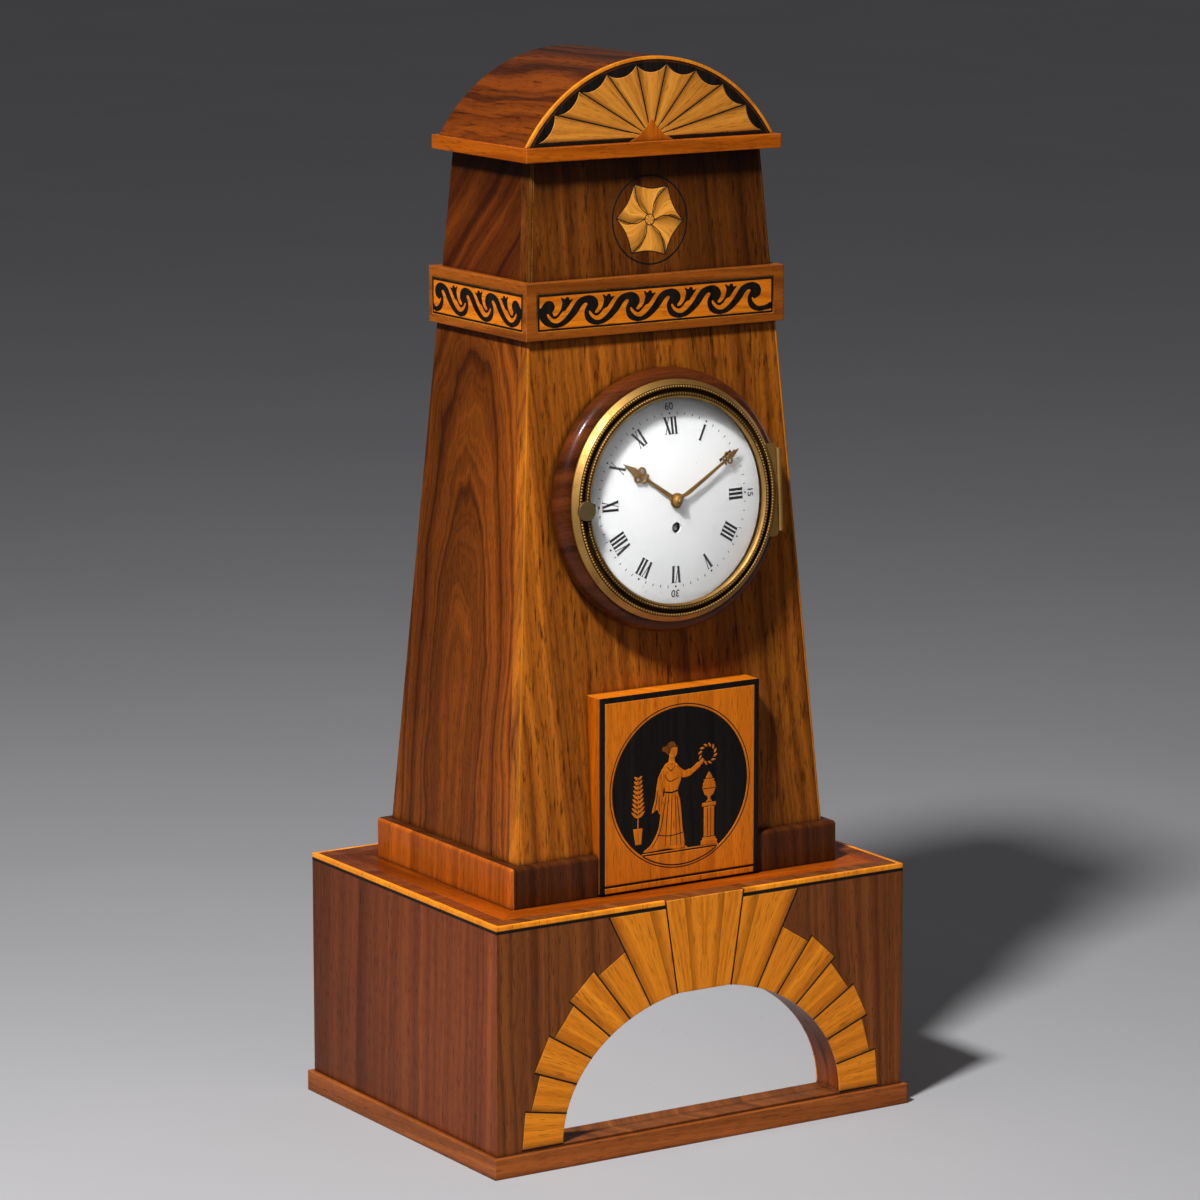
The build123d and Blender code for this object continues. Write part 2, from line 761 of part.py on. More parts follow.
frieze_low = BASE_HEIGHT + FRIEZE_RISE
frieze_half_x = tower_width(frieze_low) / 2 + FRIEZE_PROUD
frieze_half_y = tower_depth(frieze_low) / 2 + FRIEZE_PROUD
frieze_outside = block(
    -frieze_half_x, frieze_half_x, -frieze_half_y, frieze_half_y, frieze_low, frieze_low + FRIEZE_HEIGHT
)
panel_low = frieze_low + PANEL_LIFT
panel_high = panel_low + PANEL_HEIGHT
panel_x = frieze_half_x - PANEL_FRONT_MARGIN
panel_y = frieze_half_y - PANEL_SIDE_MARGIN
frieze_panels = [
    block(-panel_x, panel_x, -frieze_half_y, INLAY_DEPTH - frieze_half_y, panel_low, panel_high),
    block(frieze_half_x - INLAY_DEPTH, frieze_half_x, -panel_y, panel_y, panel_low, panel_high),
    block(-frieze_half_x, INLAY_DEPTH - frieze_half_x, -panel_y, panel_y, panel_low, panel_high),
]
frieze_strips = mitred_frame(frieze_outside, tower_core)
write("frieze_band", *[strip - frieze_panels for strip in frieze_strips])
write("frieze_panels", *frieze_panels)

# Cornice and barrel roof

cornice_half_x = tower_width(tower_top) / 2 + CORNICE_PROUD
cornice_half_y = tower_depth(tower_top) / 2 + CORNICE_PROUD
roof_low = tower_top + CORNICE_THICK
write(
    "cornice_board",
    block(-cornice_half_x, cornice_half_x, -cornice_half_y, cornice_half_y, tower_top, roof_low),
)

roof_half = cornice_half_x - ROOF_SIDE_INSET
roof_reach = cornice_half_y - ROOF_END_INSET
roof_arc = (roof_half**2 + ROOF_RISE**2) / (2 * ROOF_RISE)
roof_centre = ROOF_RISE - roof_arc
roof_plane = upright(-roof_reach, roof_low)


def roof_segment(inset):
    """The roof's arched end, drawn in by an inset, flat at the origin."""
    radius = roof_arc - inset
    half = math.sqrt(radius**2 - roof_centre**2)
    with BuildSketch() as segment:
        with BuildLine():
            ThreePointArc((-half, 0), (0, radius + roof_centre), (half, 0))
            Line((half, 0), (-half, 0))
        make_face()
    return segment.sketch


roof_outer, roof_edge, roof_inner = (roof_segment(inset) for inset in (0, ROOF_LINE, ROOF_SHELL))
with BuildPart() as roof_line:
    with BuildSketch(roof_plane.offset(-ROOF_LINE)):
        add(roof_outer)
        add(roof_edge, mode=Mode.SUBTRACT)
    extrude(amount=ROOF_LINE)
with BuildPart() as roof_shell:
    with BuildSketch(roof_plane):
        add(roof_outer)
        add(roof_inner, mode=Mode.SUBTRACT)
    extrude(amount=-2 * roof_reach)
    add(roof_line.part, mode=Mode.SUBTRACT)
write("roof_shell", roof_shell.part)
write("edge_stringing", *base_edges, *corner_lines, roof_line.part)

fan_radius = roof_arc - ROOF_SHELL - FAN_MARGIN
fan_half = math.degrees(math.acos((FAN_FOCUS - roof_centre) / fan_radius))


def fan_tip(order):
    """The point of a fan leaf's edge, counted from the right."""
    x, y = polar(fan_radius, 90 - fan_half + 2 * fan_half * order / FAN_LEAVES)
    return (x, y + roof_centre)


def fan_root(order):
    """Where a leaf's edge starts, on a small circle round the fan's focus."""
    x, y = fan_tip(order)
    share = FAN_EYE / math.hypot(x, y - FAN_FOCUS)
    return (x * share, FAN_FOCUS + (y - FAN_FOCUS) * share)


def leaf_face(order):
    """One leaf of the fan, with a hollow outer end, flat at the origin."""
    x, y = ((a + b) / 2 for a, b in zip(fan_tip(order), fan_tip(order + 1)))
    share = 1 - FAN_SCALLOP / math.hypot(x, y - FAN_FOCUS)
    hollow = (x * share, FAN_FOCUS + (y - FAN_FOCUS) * share)
    with BuildSketch() as leaf:
        with BuildLine():
            Line(fan_root(order), fan_tip(order))
            ThreePointArc(fan_tip(order), hollow, fan_tip(order + 1))
            Polyline(fan_tip(order + 1), fan_root(order + 1), fan_root(order))
        make_face()
    return leaf.sketch


leaves = [leaf_face(order) for order in range(FAN_LEAVES)]
with BuildPart() as roof_front_lunette:
    with BuildSketch(roof_plane):
        add(roof_inner)
    extrude(amount=-LUNETTE_THICK)
    with BuildSketch(roof_plane):
        for leaf in leaves:
            add(leaf)
    extrude(amount=-INLAY_DEPTH, mode=Mode.SUBTRACT)
write("roof_front_lunette", roof_front_lunette.part)
with BuildPart() as roof_back_lunette:
    with BuildSketch(upright(roof_reach, roof_low)):
        add(roof_inner)
    extrude(amount=LUNETTE_THICK)
write("roof_back_lunette", roof_back_lunette.part)

fan_leaves = []
for leaf in leaves:
    with BuildPart() as inlay:
        with BuildSketch(roof_plane.offset(-INLAY_DEPTH)):
            add(leaf)
            offset(amount=-FAN_JOINT / 2, kind=Kind.INTERSECTION)
        extrude(amount=INLAY_DEPTH)
    fan_leaves.append(inlay.part)
write("fan_leaves", *fan_leaves)

# Back board, its door, hinges and turn button

door_plane = back_face(BASE_HEIGHT + DOOR_RISE)
door_half = DOOR_WIDTH / 2
hinge_x = door_half + DOOR_GAP / 2
hinge_lift = DOOR_KNUCKLE + DOOR_KNUCKLE_LIFT
screw_sunk = SCREW_REACH * TOWER_WALL
button_at = (-door_half - DOOR_GAP - BUTTON_OFFSET, 0)
back_board = tower_loft(back_plan, BASE_HEIGHT, tower_top)
with BuildPart() as tower_back:
    add(back_board)
    with BuildSketch(door_plane):
        Rectangle(DOOR_WIDTH + 2 * DOOR_GAP, DOOR_HEIGHT + 2 * DOOR_GAP)
    extrude(amount=-2 * TOWER_WALL, mode=Mode.SUBTRACT)
    with BuildSketch(door_plane):
        with Locations(button_at):
            Circle(BUTTON_SCREW + FIT)
    extrude(amount=-screw_sunk, mode=Mode.SUBTRACT)
write("tower_back", tower_back.part)

with BuildPart() as back_door:
    with BuildSketch(door_plane):
        Rectangle(DOOR_WIDTH, DOOR_HEIGHT)
    extrude(amount=-DOOR_THICK)
write("back_door", back_door.part)


def door_hinge(height, side, own, other, bore):
    """A hinge leaf: own and other are the lengths of the knuckles it carries and leaves free."""
    clear = DOOR_KNUCKLE + DOOR_LEAF_CLEAR
    strap = clear + DOOR_STRAP_LAP
    foot = door_plane.from_local_coords((hinge_x, height, hinge_lift))
    axle = Plane(origin=foot, x_dir=door_plane.x_dir, z_dir=door_plane.y_dir)
    with BuildPart() as leaf:
        with BuildSketch(door_plane):
            with Locations((hinge_x + side * (clear + DOOR_LEAF_WIDTH) / 2, height)):
                Rectangle(DOOR_LEAF_WIDTH - clear, DOOR_HINGE_LENGTH)
        extrude(amount=DOOR_LEAF_THICK)
        for low, high in own:
            with BuildSketch(door_plane):
                with Locations((hinge_x + side * strap / 2, height + (low + high) / 2)):
                    Rectangle(strap, high - low)
            extrude(amount=DOOR_LEAF_THICK)
            with BuildSketch(axle.offset(low)):
                Circle(DOOR_KNUCKLE)
            extrude(amount=high - low)
        for low, high in other:
            with BuildSketch(axle.offset(low)):
                Circle(DOOR_PIN)
            extrude(amount=high - low)
        if bore:
            with BuildSketch(axle.offset(-DOOR_HINGE_LENGTH)):
                Circle(bore)
            extrude(amount=2 * DOOR_HINGE_LENGTH, mode=Mode.SUBTRACT)
    return leaf.part


hinge_end = DOOR_HINGE_LENGTH / 2
hinge_mid = DOOR_HINGE_LENGTH / 4
outer_knuckles = ((-hinge_end, -hinge_mid), (hinge_mid, hinge_end))
middle_knuckle = ((DOOR_KNUCKLE_SHAKE - hinge_mid, hinge_mid - DOOR_KNUCKLE_SHAKE),)
pin_span = ((-hinge_mid, hinge_mid),)
hinge_heights = (-DOOR_HINGE_SPREAD, DOOR_HINGE_SPREAD)
write(
    "back_door_hinge_fixed",
    *[door_hinge(height, 1, outer_knuckles, pin_span, 0) for height in hinge_heights],
)
write(
    "back_door_hinge_leaves",
    *[door_hinge(height, -1, middle_knuckle, (), DOOR_PIN + RUNNING) for height in hinge_heights],
)

with BuildPart() as back_door_button:
    with BuildSketch(door_plane.offset(BUTTON_GAP)):
        with Locations((button_at[0], BUTTON_LENGTH / 2 - BUTTON_TAIL)):
            RectangleRounded(BUTTON_WIDTH, BUTTON_LENGTH, BUTTON_CORNER)
        with Locations(button_at):
            Circle(BUTTON_SCREW + RUNNING, mode=Mode.SUBTRACT)
    extrude(amount=BUTTON_THICK)
write("back_door_button", back_door_button.part)

button_top = BUTTON_THICK + 2 * BUTTON_GAP
with BuildPart() as button_screw:
    with BuildSketch(door_plane.offset(-screw_sunk)):
        with Locations(button_at):
            Circle(BUTTON_SCREW)
    extrude(amount=screw_sunk + button_top)
    with BuildSketch(door_plane.offset(button_top)):
        with Locations(button_at):
            Circle(BUTTON_HEAD)
    extrude(amount=SCREW_HEAD_THICK)

# Dial surround, bezel, glass and their fittings

rebate_radius = DIAL_RADIUS + REBATE_MARGIN
surround_radius = DIAL_RADIUS + SURROUND_MARGIN
bezel_low = SURROUND_PROUD + BEZEL_LIFT
bezel_radius = DIAL_RADIUS + BEZEL_MARGIN
recess_floor = SURROUND_PROUD - HINGE_RECESS
leaf_edge = bezel_radius + HINGE_REACH
bezel_hinge_x = leaf_edge + HINGE_KNUCKLE + HINGE_GAP
bezel_hinge_w = bezel_low + HINGE_RAISE
catch_x = -DIAL_RADIUS - CATCH_MARGIN
tongue_low = PLATE_SEAT + PLATE_THICK + TONGUE_LIFT
screw_radius = DIAL_RADIUS + CATCH_MARGIN
screw_foot = PLATE_SEAT / 4

with BuildPart() as dial_surround:
    with BuildSketch(section_plane) as ring_profile:
        with BuildLine():
            Polyline(
                (bore_radius, 0),
                (surround_radius, 0),
                (surround_radius, SURROUND_PROUD),
                (rebate_radius, SURROUND_PROUD),
                (rebate_radius, PLATE_SEAT),
                (bore_radius, PLATE_SEAT),
                close=True,
            )
        make_face()
        fillet(ring_profile.vertices().group_by(Axis.X)[-1], SURROUND_ROUND)
    revolve(axis=dial_axis)
    with BuildSketch(dial_plane.offset(recess_floor)):
        with Locations((rebate_radius + RECESS_STEP + surround_radius / 2, 0)):
            Rectangle(surround_radius, 2 * (HINGE_HALF + RECESS_ROOM))
    extrude(amount=SURROUND_PROUD, mode=Mode.SUBTRACT)
    with BuildSketch(dial_plane.offset(tongue_low - TONGUE_ROOM)):
        with Locations((catch_x, 0)):
            Circle(CATCH_TONGUE + TONGUE_SWING)
    extrude(amount=TONGUE_THICK + 2 * TONGUE_ROOM, mode=Mode.SUBTRACT)
    with BuildSketch(dial_plane.offset(PLATE_SEAT)):
        with PolarLocations(screw_radius, 4, 45):
            Circle(PLATE_SCREW + FIT)
    extrude(amount=screw_foot - PLATE_SEAT, mode=Mode.SUBTRACT)
write("dial_surround", dial_surround.part)

groove_out = DIAL_RADIUS + GROOVE_OUTSIDE
groove_in = DIAL_RADIUS + GROOVE_INSIDE
lip_radius = DIAL_RADIUS - LIP_INSET
glass_radius = lip_radius + GLASS_LAP
with BuildPart() as bezel_ring:
    with BuildSketch(section_plane):
        with BuildLine():
            Polyline(
                (bezel_radius, bezel_low),
                (bezel_radius, bezel_low + BEZEL_EDGE),
                (bezel_radius - BEZEL_BEVEL, bezel_low + BEZEL_FLANGE),
                (groove_out + GROOVE_SLANT, bezel_low + BEZEL_FLANGE),
                (groove_out, bezel_low + BEZEL_FLOOR),
                (groove_in, bezel_low + BEZEL_FLOOR),
                (groove_in - GROOVE_SLANT, bezel_low + BEZEL_FLANGE + RIDGE_RISE),
                (lip_radius + LIP_BEVEL, bezel_low + BEZEL_LIP),
                (lip_radius, bezel_low + BEZEL_LIP - LIP_DROP),
                (lip_radius, bezel_low + BEZEL_FLOOR),
                (glass_radius + GLASS_ROOM, bezel_low + BEZEL_FLOOR),
                (glass_radius + GLASS_ROOM, bezel_low),
                close=True,
            )
        make_face()
        with Locations((groove_out + BEAD_OUTSIDE, bezel_low + BEZEL_FLANGE)):
            Circle(BEZEL_BEAD)
        with Locations((groove_in - BEAD_INSIDE, bezel_low + BEZEL_FLANGE + BEAD_RISE)):
            Circle(BEZEL_BEAD)
    revolve(axis=dial_axis)
    with BuildSketch(dial_plane.offset(bezel_low - CUT_OVER)):
        with Locations((catch_x, 0)):
            Circle(CATCH_SPINDLE + RUNNING)
    extrude(amount=BEZEL_LIP + 2 * CUT_OVER, mode=Mode.SUBTRACT)
write("bezel_ring", bezel_ring.part)

glass_front = bezel_low + BEZEL_FLOOR
glass_flat = lip_radius - GLASS_RIM
glass_sphere = (glass_flat**2 + GLASS_DOME**2) / (2 * GLASS_DOME)
glass_half = GLASS_DOME - glass_sphere + math.sqrt(glass_sphere**2 - (glass_flat / 2) ** 2)
with BuildPart() as bezel_glass:
    with BuildSketch(section_plane):
        with BuildLine():
            ThreePointArc(
                (0, glass_front + GLASS_DOME),
                (glass_flat / 2, glass_front + glass_half),
                (glass_flat, glass_front),
            )
            Polyline(
                (glass_flat, glass_front),
                (glass_radius, glass_front),
                (glass_radius, glass_front - GLASS_THICK),
                (glass_flat, glass_front - GLASS_THICK),
            )
            ThreePointArc(
                (glass_flat, glass_front - GLASS_THICK),
                (glass_flat / 2, glass_front - GLASS_THICK + glass_half),
                (0, glass_front - GLASS_THICK + GLASS_DOME),
            )
            Line((0, glass_front - GLASS_THICK + GLASS_DOME), (0, glass_front + GLASS_DOME))
        make_face()
    revolve(axis=dial_axis)
write("bezel_glass", bezel_glass.part)

hinge_foot = dial_plane.from_local_coords((bezel_hinge_x, 0, bezel_hinge_w))
hinge_axle = Plane(origin=hinge_foot, x_dir=dial_plane.x_dir, z_dir=dial_plane.y_dir)
plate_in = rebate_radius + HINGE_PLATE_STEP
strap_in = leaf_edge - HINGE_STRAP_LAP
with BuildPart() as bezel_hinge_plate:
    with BuildSketch(dial_plane.offset(recess_floor)):
        with Locations(((plate_in + leaf_edge) / 2, 0)):
            Rectangle(leaf_edge - plate_in, 2 * HINGE_HALF)
        for side in (-1, 1):
            with Locations(((plate_in + bezel_hinge_x) / 2, side * (KNUCKLE_MIDDLE + KNUCKLE_HALF) / 2)):
                Rectangle(bezel_hinge_x - plate_in, KNUCKLE_HALF - KNUCKLE_MIDDLE)
    extrude(amount=HINGE_PLATE)
    for start in (-KNUCKLE_HALF, KNUCKLE_MIDDLE):
        with BuildSketch(hinge_axle.offset(start)):
            Circle(HINGE_KNUCKLE)
        extrude(amount=KNUCKLE_HALF - KNUCKLE_MIDDLE)
    with BuildSketch(hinge_axle.offset(-KNUCKLE_HALF)):
        Circle(HINGE_PIN + FIT)
    extrude(amount=2 * KNUCKLE_HALF, mode=Mode.SUBTRACT)
write("bezel_hinge_plate", bezel_hinge_plate.part)

with BuildPart() as bezel_hinge_leaf:
    with BuildSketch(dial_plane.offset(bezel_low + HINGE_LEAF_LIFT)) as leaf_outline:
        with Locations((leaf_edge / 2, 0)):
            Rectangle(leaf_edge, 2 * HINGE_HALF)
        fillet(leaf_outline.vertices().group_by(Axis.X)[-1], HINGE_LEAF_ROUND)
        with Locations(((strap_in + bezel_hinge_x) / 2, 0)):
            Rectangle(bezel_hinge_x - strap_in, 2 * (KNUCKLE_MIDDLE - KNUCKLE_SHAKE))
        Circle(bezel_radius, mode=Mode.SUBTRACT)
    extrude(amount=HINGE_LEAF)
    with BuildSketch(hinge_axle.offset(KNUCKLE_SHAKE - KNUCKLE_MIDDLE)):
        Circle(HINGE_KNUCKLE)
    extrude(amount=2 * (KNUCKLE_MIDDLE - KNUCKLE_SHAKE))
    with BuildSketch(hinge_axle.offset(-KNUCKLE_HALF)):
        Circle(HINGE_PIN + RUNNING)
    extrude(amount=2 * KNUCKLE_HALF, mode=Mode.SUBTRACT)
write("bezel_hinge_leaf", bezel_hinge_leaf.part)

with BuildPart() as bezel_hinge_pin:
    with BuildSketch(hinge_axle.offset(-KNUCKLE_HALF)):
        Circle(HINGE_PIN)
    extrude(amount=2 * KNUCKLE_HALF)
write("bezel_hinge_pin", bezel_hinge_pin.part)

knob_low = bezel_low + BEZEL_LIP + CATCH_KNOB_LIFT
with BuildPart() as bezel_catch:
    with BuildSketch(dial_plane.offset(tongue_low)):
        with Locations((catch_x, 0)):
            Circle(CATCH_SPINDLE)
        with Locations((catch_x, CATCH_TONGUE / 2)):
            Rectangle(TONGUE_WIDTH, CATCH_TONGUE)
    extrude(amount=TONGUE_THICK)
    with BuildSketch(dial_plane.offset(tongue_low)):
        with Locations((catch_x, 0)):
            Circle(CATCH_SPINDLE)
    extrude(amount=knob_low - tongue_low)
    with BuildSketch(dial_plane.offset(knob_low)):
        with Locations((catch_x, 0)):
            Circle(CATCH_KNOB)
    extrude(amount=CATCH_KNOB_THICK)
write("bezel_catch", bezel_catch.part)

# Movement: where the arbors stand in the dial's plane

centre = (0, 0)
winding = (0, -WINDING_DROP)
great_module = 2 * WINDING_DROP / (GREAT_TEETH + CENTRE_PINION)
third = polar(CENTRE_MODULE * (CENTRE_TEETH + THIRD_PINION) / 2, THIRD_BEARING)
escape_step = THIRD_MODULE * (THIRD_TEETH + ESCAPE_PINION) / 2
escape = (0, third[1] + math.sqrt(escape_step**2 - third[0] ** 2))
escape_bearing = math.degrees(math.atan2(escape[1] - third[1], escape[0] - third[0]))
anchor_at = (0, escape[1] + ANCHOR_RISE)
motion = (MOTION_MODULE * (CANNON_TEETH + MINUTE_TEETH) / 2, 0)
plate_back = FRONT_PLATE - PLATE_SPACE
plate_rear = plate_back - PLATE_METAL
plate_face = FRONT_PLATE + PLATE_METAL
shoulder_low = plate_back + END_SHAKE
shoulder_high = FRONT_PLATE - END_SHAKE
click_at = (winding[0] - CLICK_LEFT, winding[1] - CLICK_BELOW)
pillars = [
    (-PILLAR_HALF, -PILLAR_FOOT),
    (PILLAR_HALF, -PILLAR_FOOT),
    (-PILLAR_HALF, PILLAR_TOP),
    (PILLAR_HALF, PILLAR_TOP),
]


def arbor_plane(at, height):
    """A plane across an arbor, parallel to the dial."""
    origin = dial_plane.from_local_coords((at[0], at[1], height))
    return Plane(origin=origin, x_dir=dial_plane.x_dir, z_dir=dial_plane.z_dir)


def turned(at, *steps):
    """A round staff: each step gives a radius and the heights between which it runs."""
    with BuildPart() as staff:
        for radius, low, high in steps:
            with BuildSketch(arbor_plane(at, low)):
                Circle(radius)
            extrude(amount=high - low)
    return staff.part


def toothed(at, teeth, module, form, phase, low, high, bore=0.0, arms=False):
    """A wheel or pinion with one tooth at the phase angle, solid or with four arms."""
    above, below, flank, tip = form
    pitch_radius = module * teeth / 2
    step = 360 / teeth
    root_radius, tip_radius = pitch_radius - below * module, pitch_radius + above * module
    corners = (
        (root_radius, -flank / 2),
        (pitch_radius, -flank / 2),
        (tip_radius, -tip / 2),
        (tip_radius, tip / 2),
        (pitch_radius, flank / 2),
        (root_radius, flank / 2),
    )
    outline = [
        polar(radius, phase + (tooth + share) * step) for tooth in range(teeth) for radius, share in corners
    ]
    rim = root_radius - WHEEL_RIM
    with BuildPart() as wheel:
        with BuildSketch(arbor_plane(at, low)):
            with BuildLine():
                Polyline(*outline, close=True)
            make_face()
            if arms:
                Circle(rim, mode=Mode.SUBTRACT)
                Circle(max(bore + WHEEL_RIM, WHEEL_HUB))
                for turn in (0, 90):
                    Rectangle(2 * (rim + ARM_LAP), ARM_WIDTH, rotation=turn)
            if bore:
                Circle(bore, mode=Mode.SUBTRACT)
        extrude(amount=high - low)
    return wheel.part


def meshing(teeth, towards):
    """The phase that puts a tooth space, and not a tooth, in a direction."""
    return towards + 180 / teeth


# Movement frame

train_holes = [
    (centre, CENTRE_PIPE + RUNNING, CENTRE_PIVOT + RUNNING),
    (winding, WINDING_NECK + RUNNING, WINDING_PIVOT + RUNNING),
    (third, THIRD_PIVOT + RUNNING, THIRD_PIVOT + RUNNING),
    (escape, ESCAPE_PIVOT + RUNNING, ESCAPE_PIVOT + RUNNING),
    (anchor_at, ANCHOR_PIVOT + RUNNING, CRUTCH_RADIUS + RUNNING),
]
with BuildPart() as front_plate:
    with BuildSketch(dial_plane.offset(FRONT_PLATE)):
        with Locations((0, (PLATE_TOP - PLATE_FOOT) / 2)):
            Rectangle(2 * PLATE_HALF_WIDTH, PLATE_TOP + PLATE_FOOT)
        for at, front_hole, _ in train_holes:
            with Locations(at):
                Circle(front_hole, mode=Mode.SUBTRACT)
        for at in pillars:
            with Locations(at):
                Circle(TENON_RADIUS + FIT, mode=Mode.SUBTRACT)
    extrude(amount=PLATE_METAL)
    for at, radius, height in (
        (motion, MOTION_POST, MOTION_POST_HEIGHT),
        (click_at, CLICK_POST, CLICK_POST_HEIGHT),
    ):
        with BuildSketch(arbor_plane(at, plate_face)):
            Circle(radius)
        extrude(amount=height)
write("front_plate", front_plate.part)

with BuildPart() as back_plate:
    with BuildSketch(dial_plane.offset(plate_rear)):
        with Locations((0, (PLATE_TOP - PLATE_FOOT) / 2)):
            Rectangle(2 * PLATE_HALF_WIDTH, PLATE_TOP + PLATE_FOOT)
        for at, _, back_hole in train_holes:
            with Locations(at):
                Circle(back_hole, mode=Mode.SUBTRACT)
        for at in pillars:
            with Locations(at):
                Circle(TENON_RADIUS + FIT, mode=Mode.SUBTRACT)
    extrude(amount=PLATE_METAL)
write("back_plate", back_plate.part)

frame_pillars = [
    turned(
        at,
        (TENON_RADIUS, plate_rear - TENON_END, plate_back),
        (PILLAR_RADIUS, plate_back, FRONT_PLATE),
        (TENON_RADIUS, FRONT_PLATE, plate_face),
        (PILLAR_RADIUS, plate_face, PLATE_SEAT),
        (TENON_RADIUS, PLATE_SEAT, PLATE_SEAT + PLATE_THICK),
    )
    for at in pillars
]
write("movement_pillars", *frame_pillars)

foot_angles = (30, 150, 270)
with BuildPart() as dial_plate:
    with BuildSketch(dial_plane.offset(PLATE_SEAT)):
        Circle(rebate_radius - PLATE_ROOM)
        Circle(PLATE_OPENING, mode=Mode.SUBTRACT)
        for at in pillars:
            with Locations(at):
                Circle(TENON_RADIUS + FIT, mode=Mode.SUBTRACT)
        for angle in foot_angles:
            with Locations(polar(DIAL_FOOT_RADIUS, angle)):
                Circle(DIAL_FOOT + FIT, mode=Mode.SUBTRACT)
        with PolarLocations(screw_radius, 4, 45):
            Circle(PLATE_SCREW + FIT, mode=Mode.SUBTRACT)
    extrude(amount=PLATE_THICK)
write("dial_plate", dial_plate.part)

plate_front = PLATE_SEAT + PLATE_THICK
plate_screws = [
    turned(
        polar(screw_radius, 45 + 90 * turn),
        (PLATE_SCREW, screw_foot, plate_front),
        (PLATE_SCREW_HEAD, plate_front, plate_front + SCREW_HEAD_THICK),
    )
    for turn in range(4)
]
write("brass_screws", *plate_screws, button_screw.part)

# Enamel dial and its hands, all bowed to one sphere

dial_crown = plate_front + DIAL_THICK + DIAL_DOME
dome_sphere = (DIAL_RADIUS**2 + DIAL_DOME**2) / (2 * DIAL_DOME)


def dome_height(radius):
    """How far the dial's sphere falls below its crown at a radius, as a negative height."""
    return math.sqrt(dome_sphere**2 - radius**2) - dome_sphere


def dome_shell(top, thick):
    """A bowed sheet over the whole dial, its crown's front at a height."""
    middle, rim = dome_height(DIAL_RADIUS / 2), dome_height(DIAL_RADIUS)
    with BuildPart() as shell:
        with BuildSketch(section_plane):
            with BuildLine():
                ThreePointArc((0, top), (DIAL_RADIUS / 2, top + middle), (DIAL_RADIUS, top + rim))
                Line((DIAL_RADIUS, top + rim), (DIAL_RADIUS, top + rim - thick))
                ThreePointArc(
                    (DIAL_RADIUS, top + rim - thick),
                    (DIAL_RADIUS / 2, top + middle - thick),
                    (0, top - thick),
                )
                Line((0, top - thick), (0, top))
            make_face()
        revolve(axis=dial_axis)
    return shell.part


dial_shell = dome_shell(dial_crown, DIAL_THICK)
dial_foot_top = dial_crown + dome_height(DIAL_FOOT_RADIUS + DIAL_FOOT) - DIAL_THICK / 2
dial_feet = [
    turned(polar(DIAL_FOOT_RADIUS, angle), (DIAL_FOOT, PLATE_SEAT - DIAL_FOOT_END, dial_foot_top))
    for angle in foot_angles
]
with BuildPart() as dial_face:
    add(dial_shell)
    for foot in dial_feet:
        add(foot)
    with BuildSketch(dial_plane):
        Circle(DIAL_HOLE)
        with Locations(winding):
            Circle(WINDING_HOLE)
    extrude(amount=2 * dial_crown, mode=Mode.SUBTRACT)
write("dial_face", dial_face.part)

hour_top = dial_crown + HOUR_CLEARANCE + HAND_THICK
minute_top = hour_top + HAND_GAP + HAND_THICK


def hand(length, hub, bore, scroll, turn, top):
    """A pierced hand: hub, tapering shaft, collar, two ringed scrolls and a pointed leaf."""
    neck = length - 6.2 * scroll
    scroll_y = neck + 1.7 * scroll
    sheet = dome_shell(top, HAND_THICK)
    across = dial_plane.x_dir.rotate(dial_axis, -turn)
    hand_plane = Plane(origin=dial_plane.origin, x_dir=across, z_dir=dial_plane.z_dir)
    with BuildPart() as blade:
        with BuildSketch(hand_plane):
            Circle(hub)
            with BuildLine():
                Polyline((-SHAFT_ROOT, 0), (SHAFT_ROOT, 0), (SHAFT_TIP, neck), (-SHAFT_TIP, neck), close=True)
            make_face()
            with Locations((0, neck)):
                Rectangle(2.2 * scroll, HAND_COLLAR)
            with Locations((-0.85 * scroll, scroll_y), (0.85 * scroll, scroll_y)):
                Circle(scroll)
            with Locations((-0.95 * scroll, scroll_y), (0.95 * scroll, scroll_y)):
                Circle(0.5 * scroll, mode=Mode.SUBTRACT)
            with BuildLine():
                Polyline(
                    (-0.45 * scroll, scroll_y),
                    (-0.8 * scroll, scroll_y + 1.6 * scroll),
                    (0, length),
                    (0.8 * scroll, scroll_y + 1.6 * scroll),
                    (0.45 * scroll, scroll_y),
                    close=True,
                )
            make_face()
            Circle(bore, mode=Mode.SUBTRACT)
        extrude(amount=2 * top)
        add(sheet, mode=Mode.INTERSECT)
    return blade.part


minute_turn = 6 * SHOWN_MINUTE
hour_turn = 30 * SHOWN_HOUR + SHOWN_MINUTE / 2
write("hour_hand", hand(HOUR_LENGTH, HOUR_HUB, HOUR_PIPE + FIT, HOUR_SCROLL, hour_turn, hour_top))
minute_blade = hand(MINUTE_LENGTH, MINUTE_HUB, CANNON_PIPE + FIT, MINUTE_SCROLL, minute_turn, minute_top)
write("minute_hand", minute_blade)
with BuildPart() as hand_collet:
    with BuildSketch(section_plane):
        with BuildLine():
            Polyline(
                (CENTRE_PIPE + FIT, minute_top),
                (COLLET_RADIUS, minute_top),
                (COLLET_SHOULDER, minute_top + COLLET_STEP),
                (COLLET_TIP, minute_top + COLLET_HEIGHT),
                (CENTRE_PIPE + FIT, minute_top + COLLET_HEIGHT),
                close=True,
            )
        make_face()
    revolve(axis=dial_axis)
write("hand_collet", hand_collet.part)

# Going train, motion work and winding work

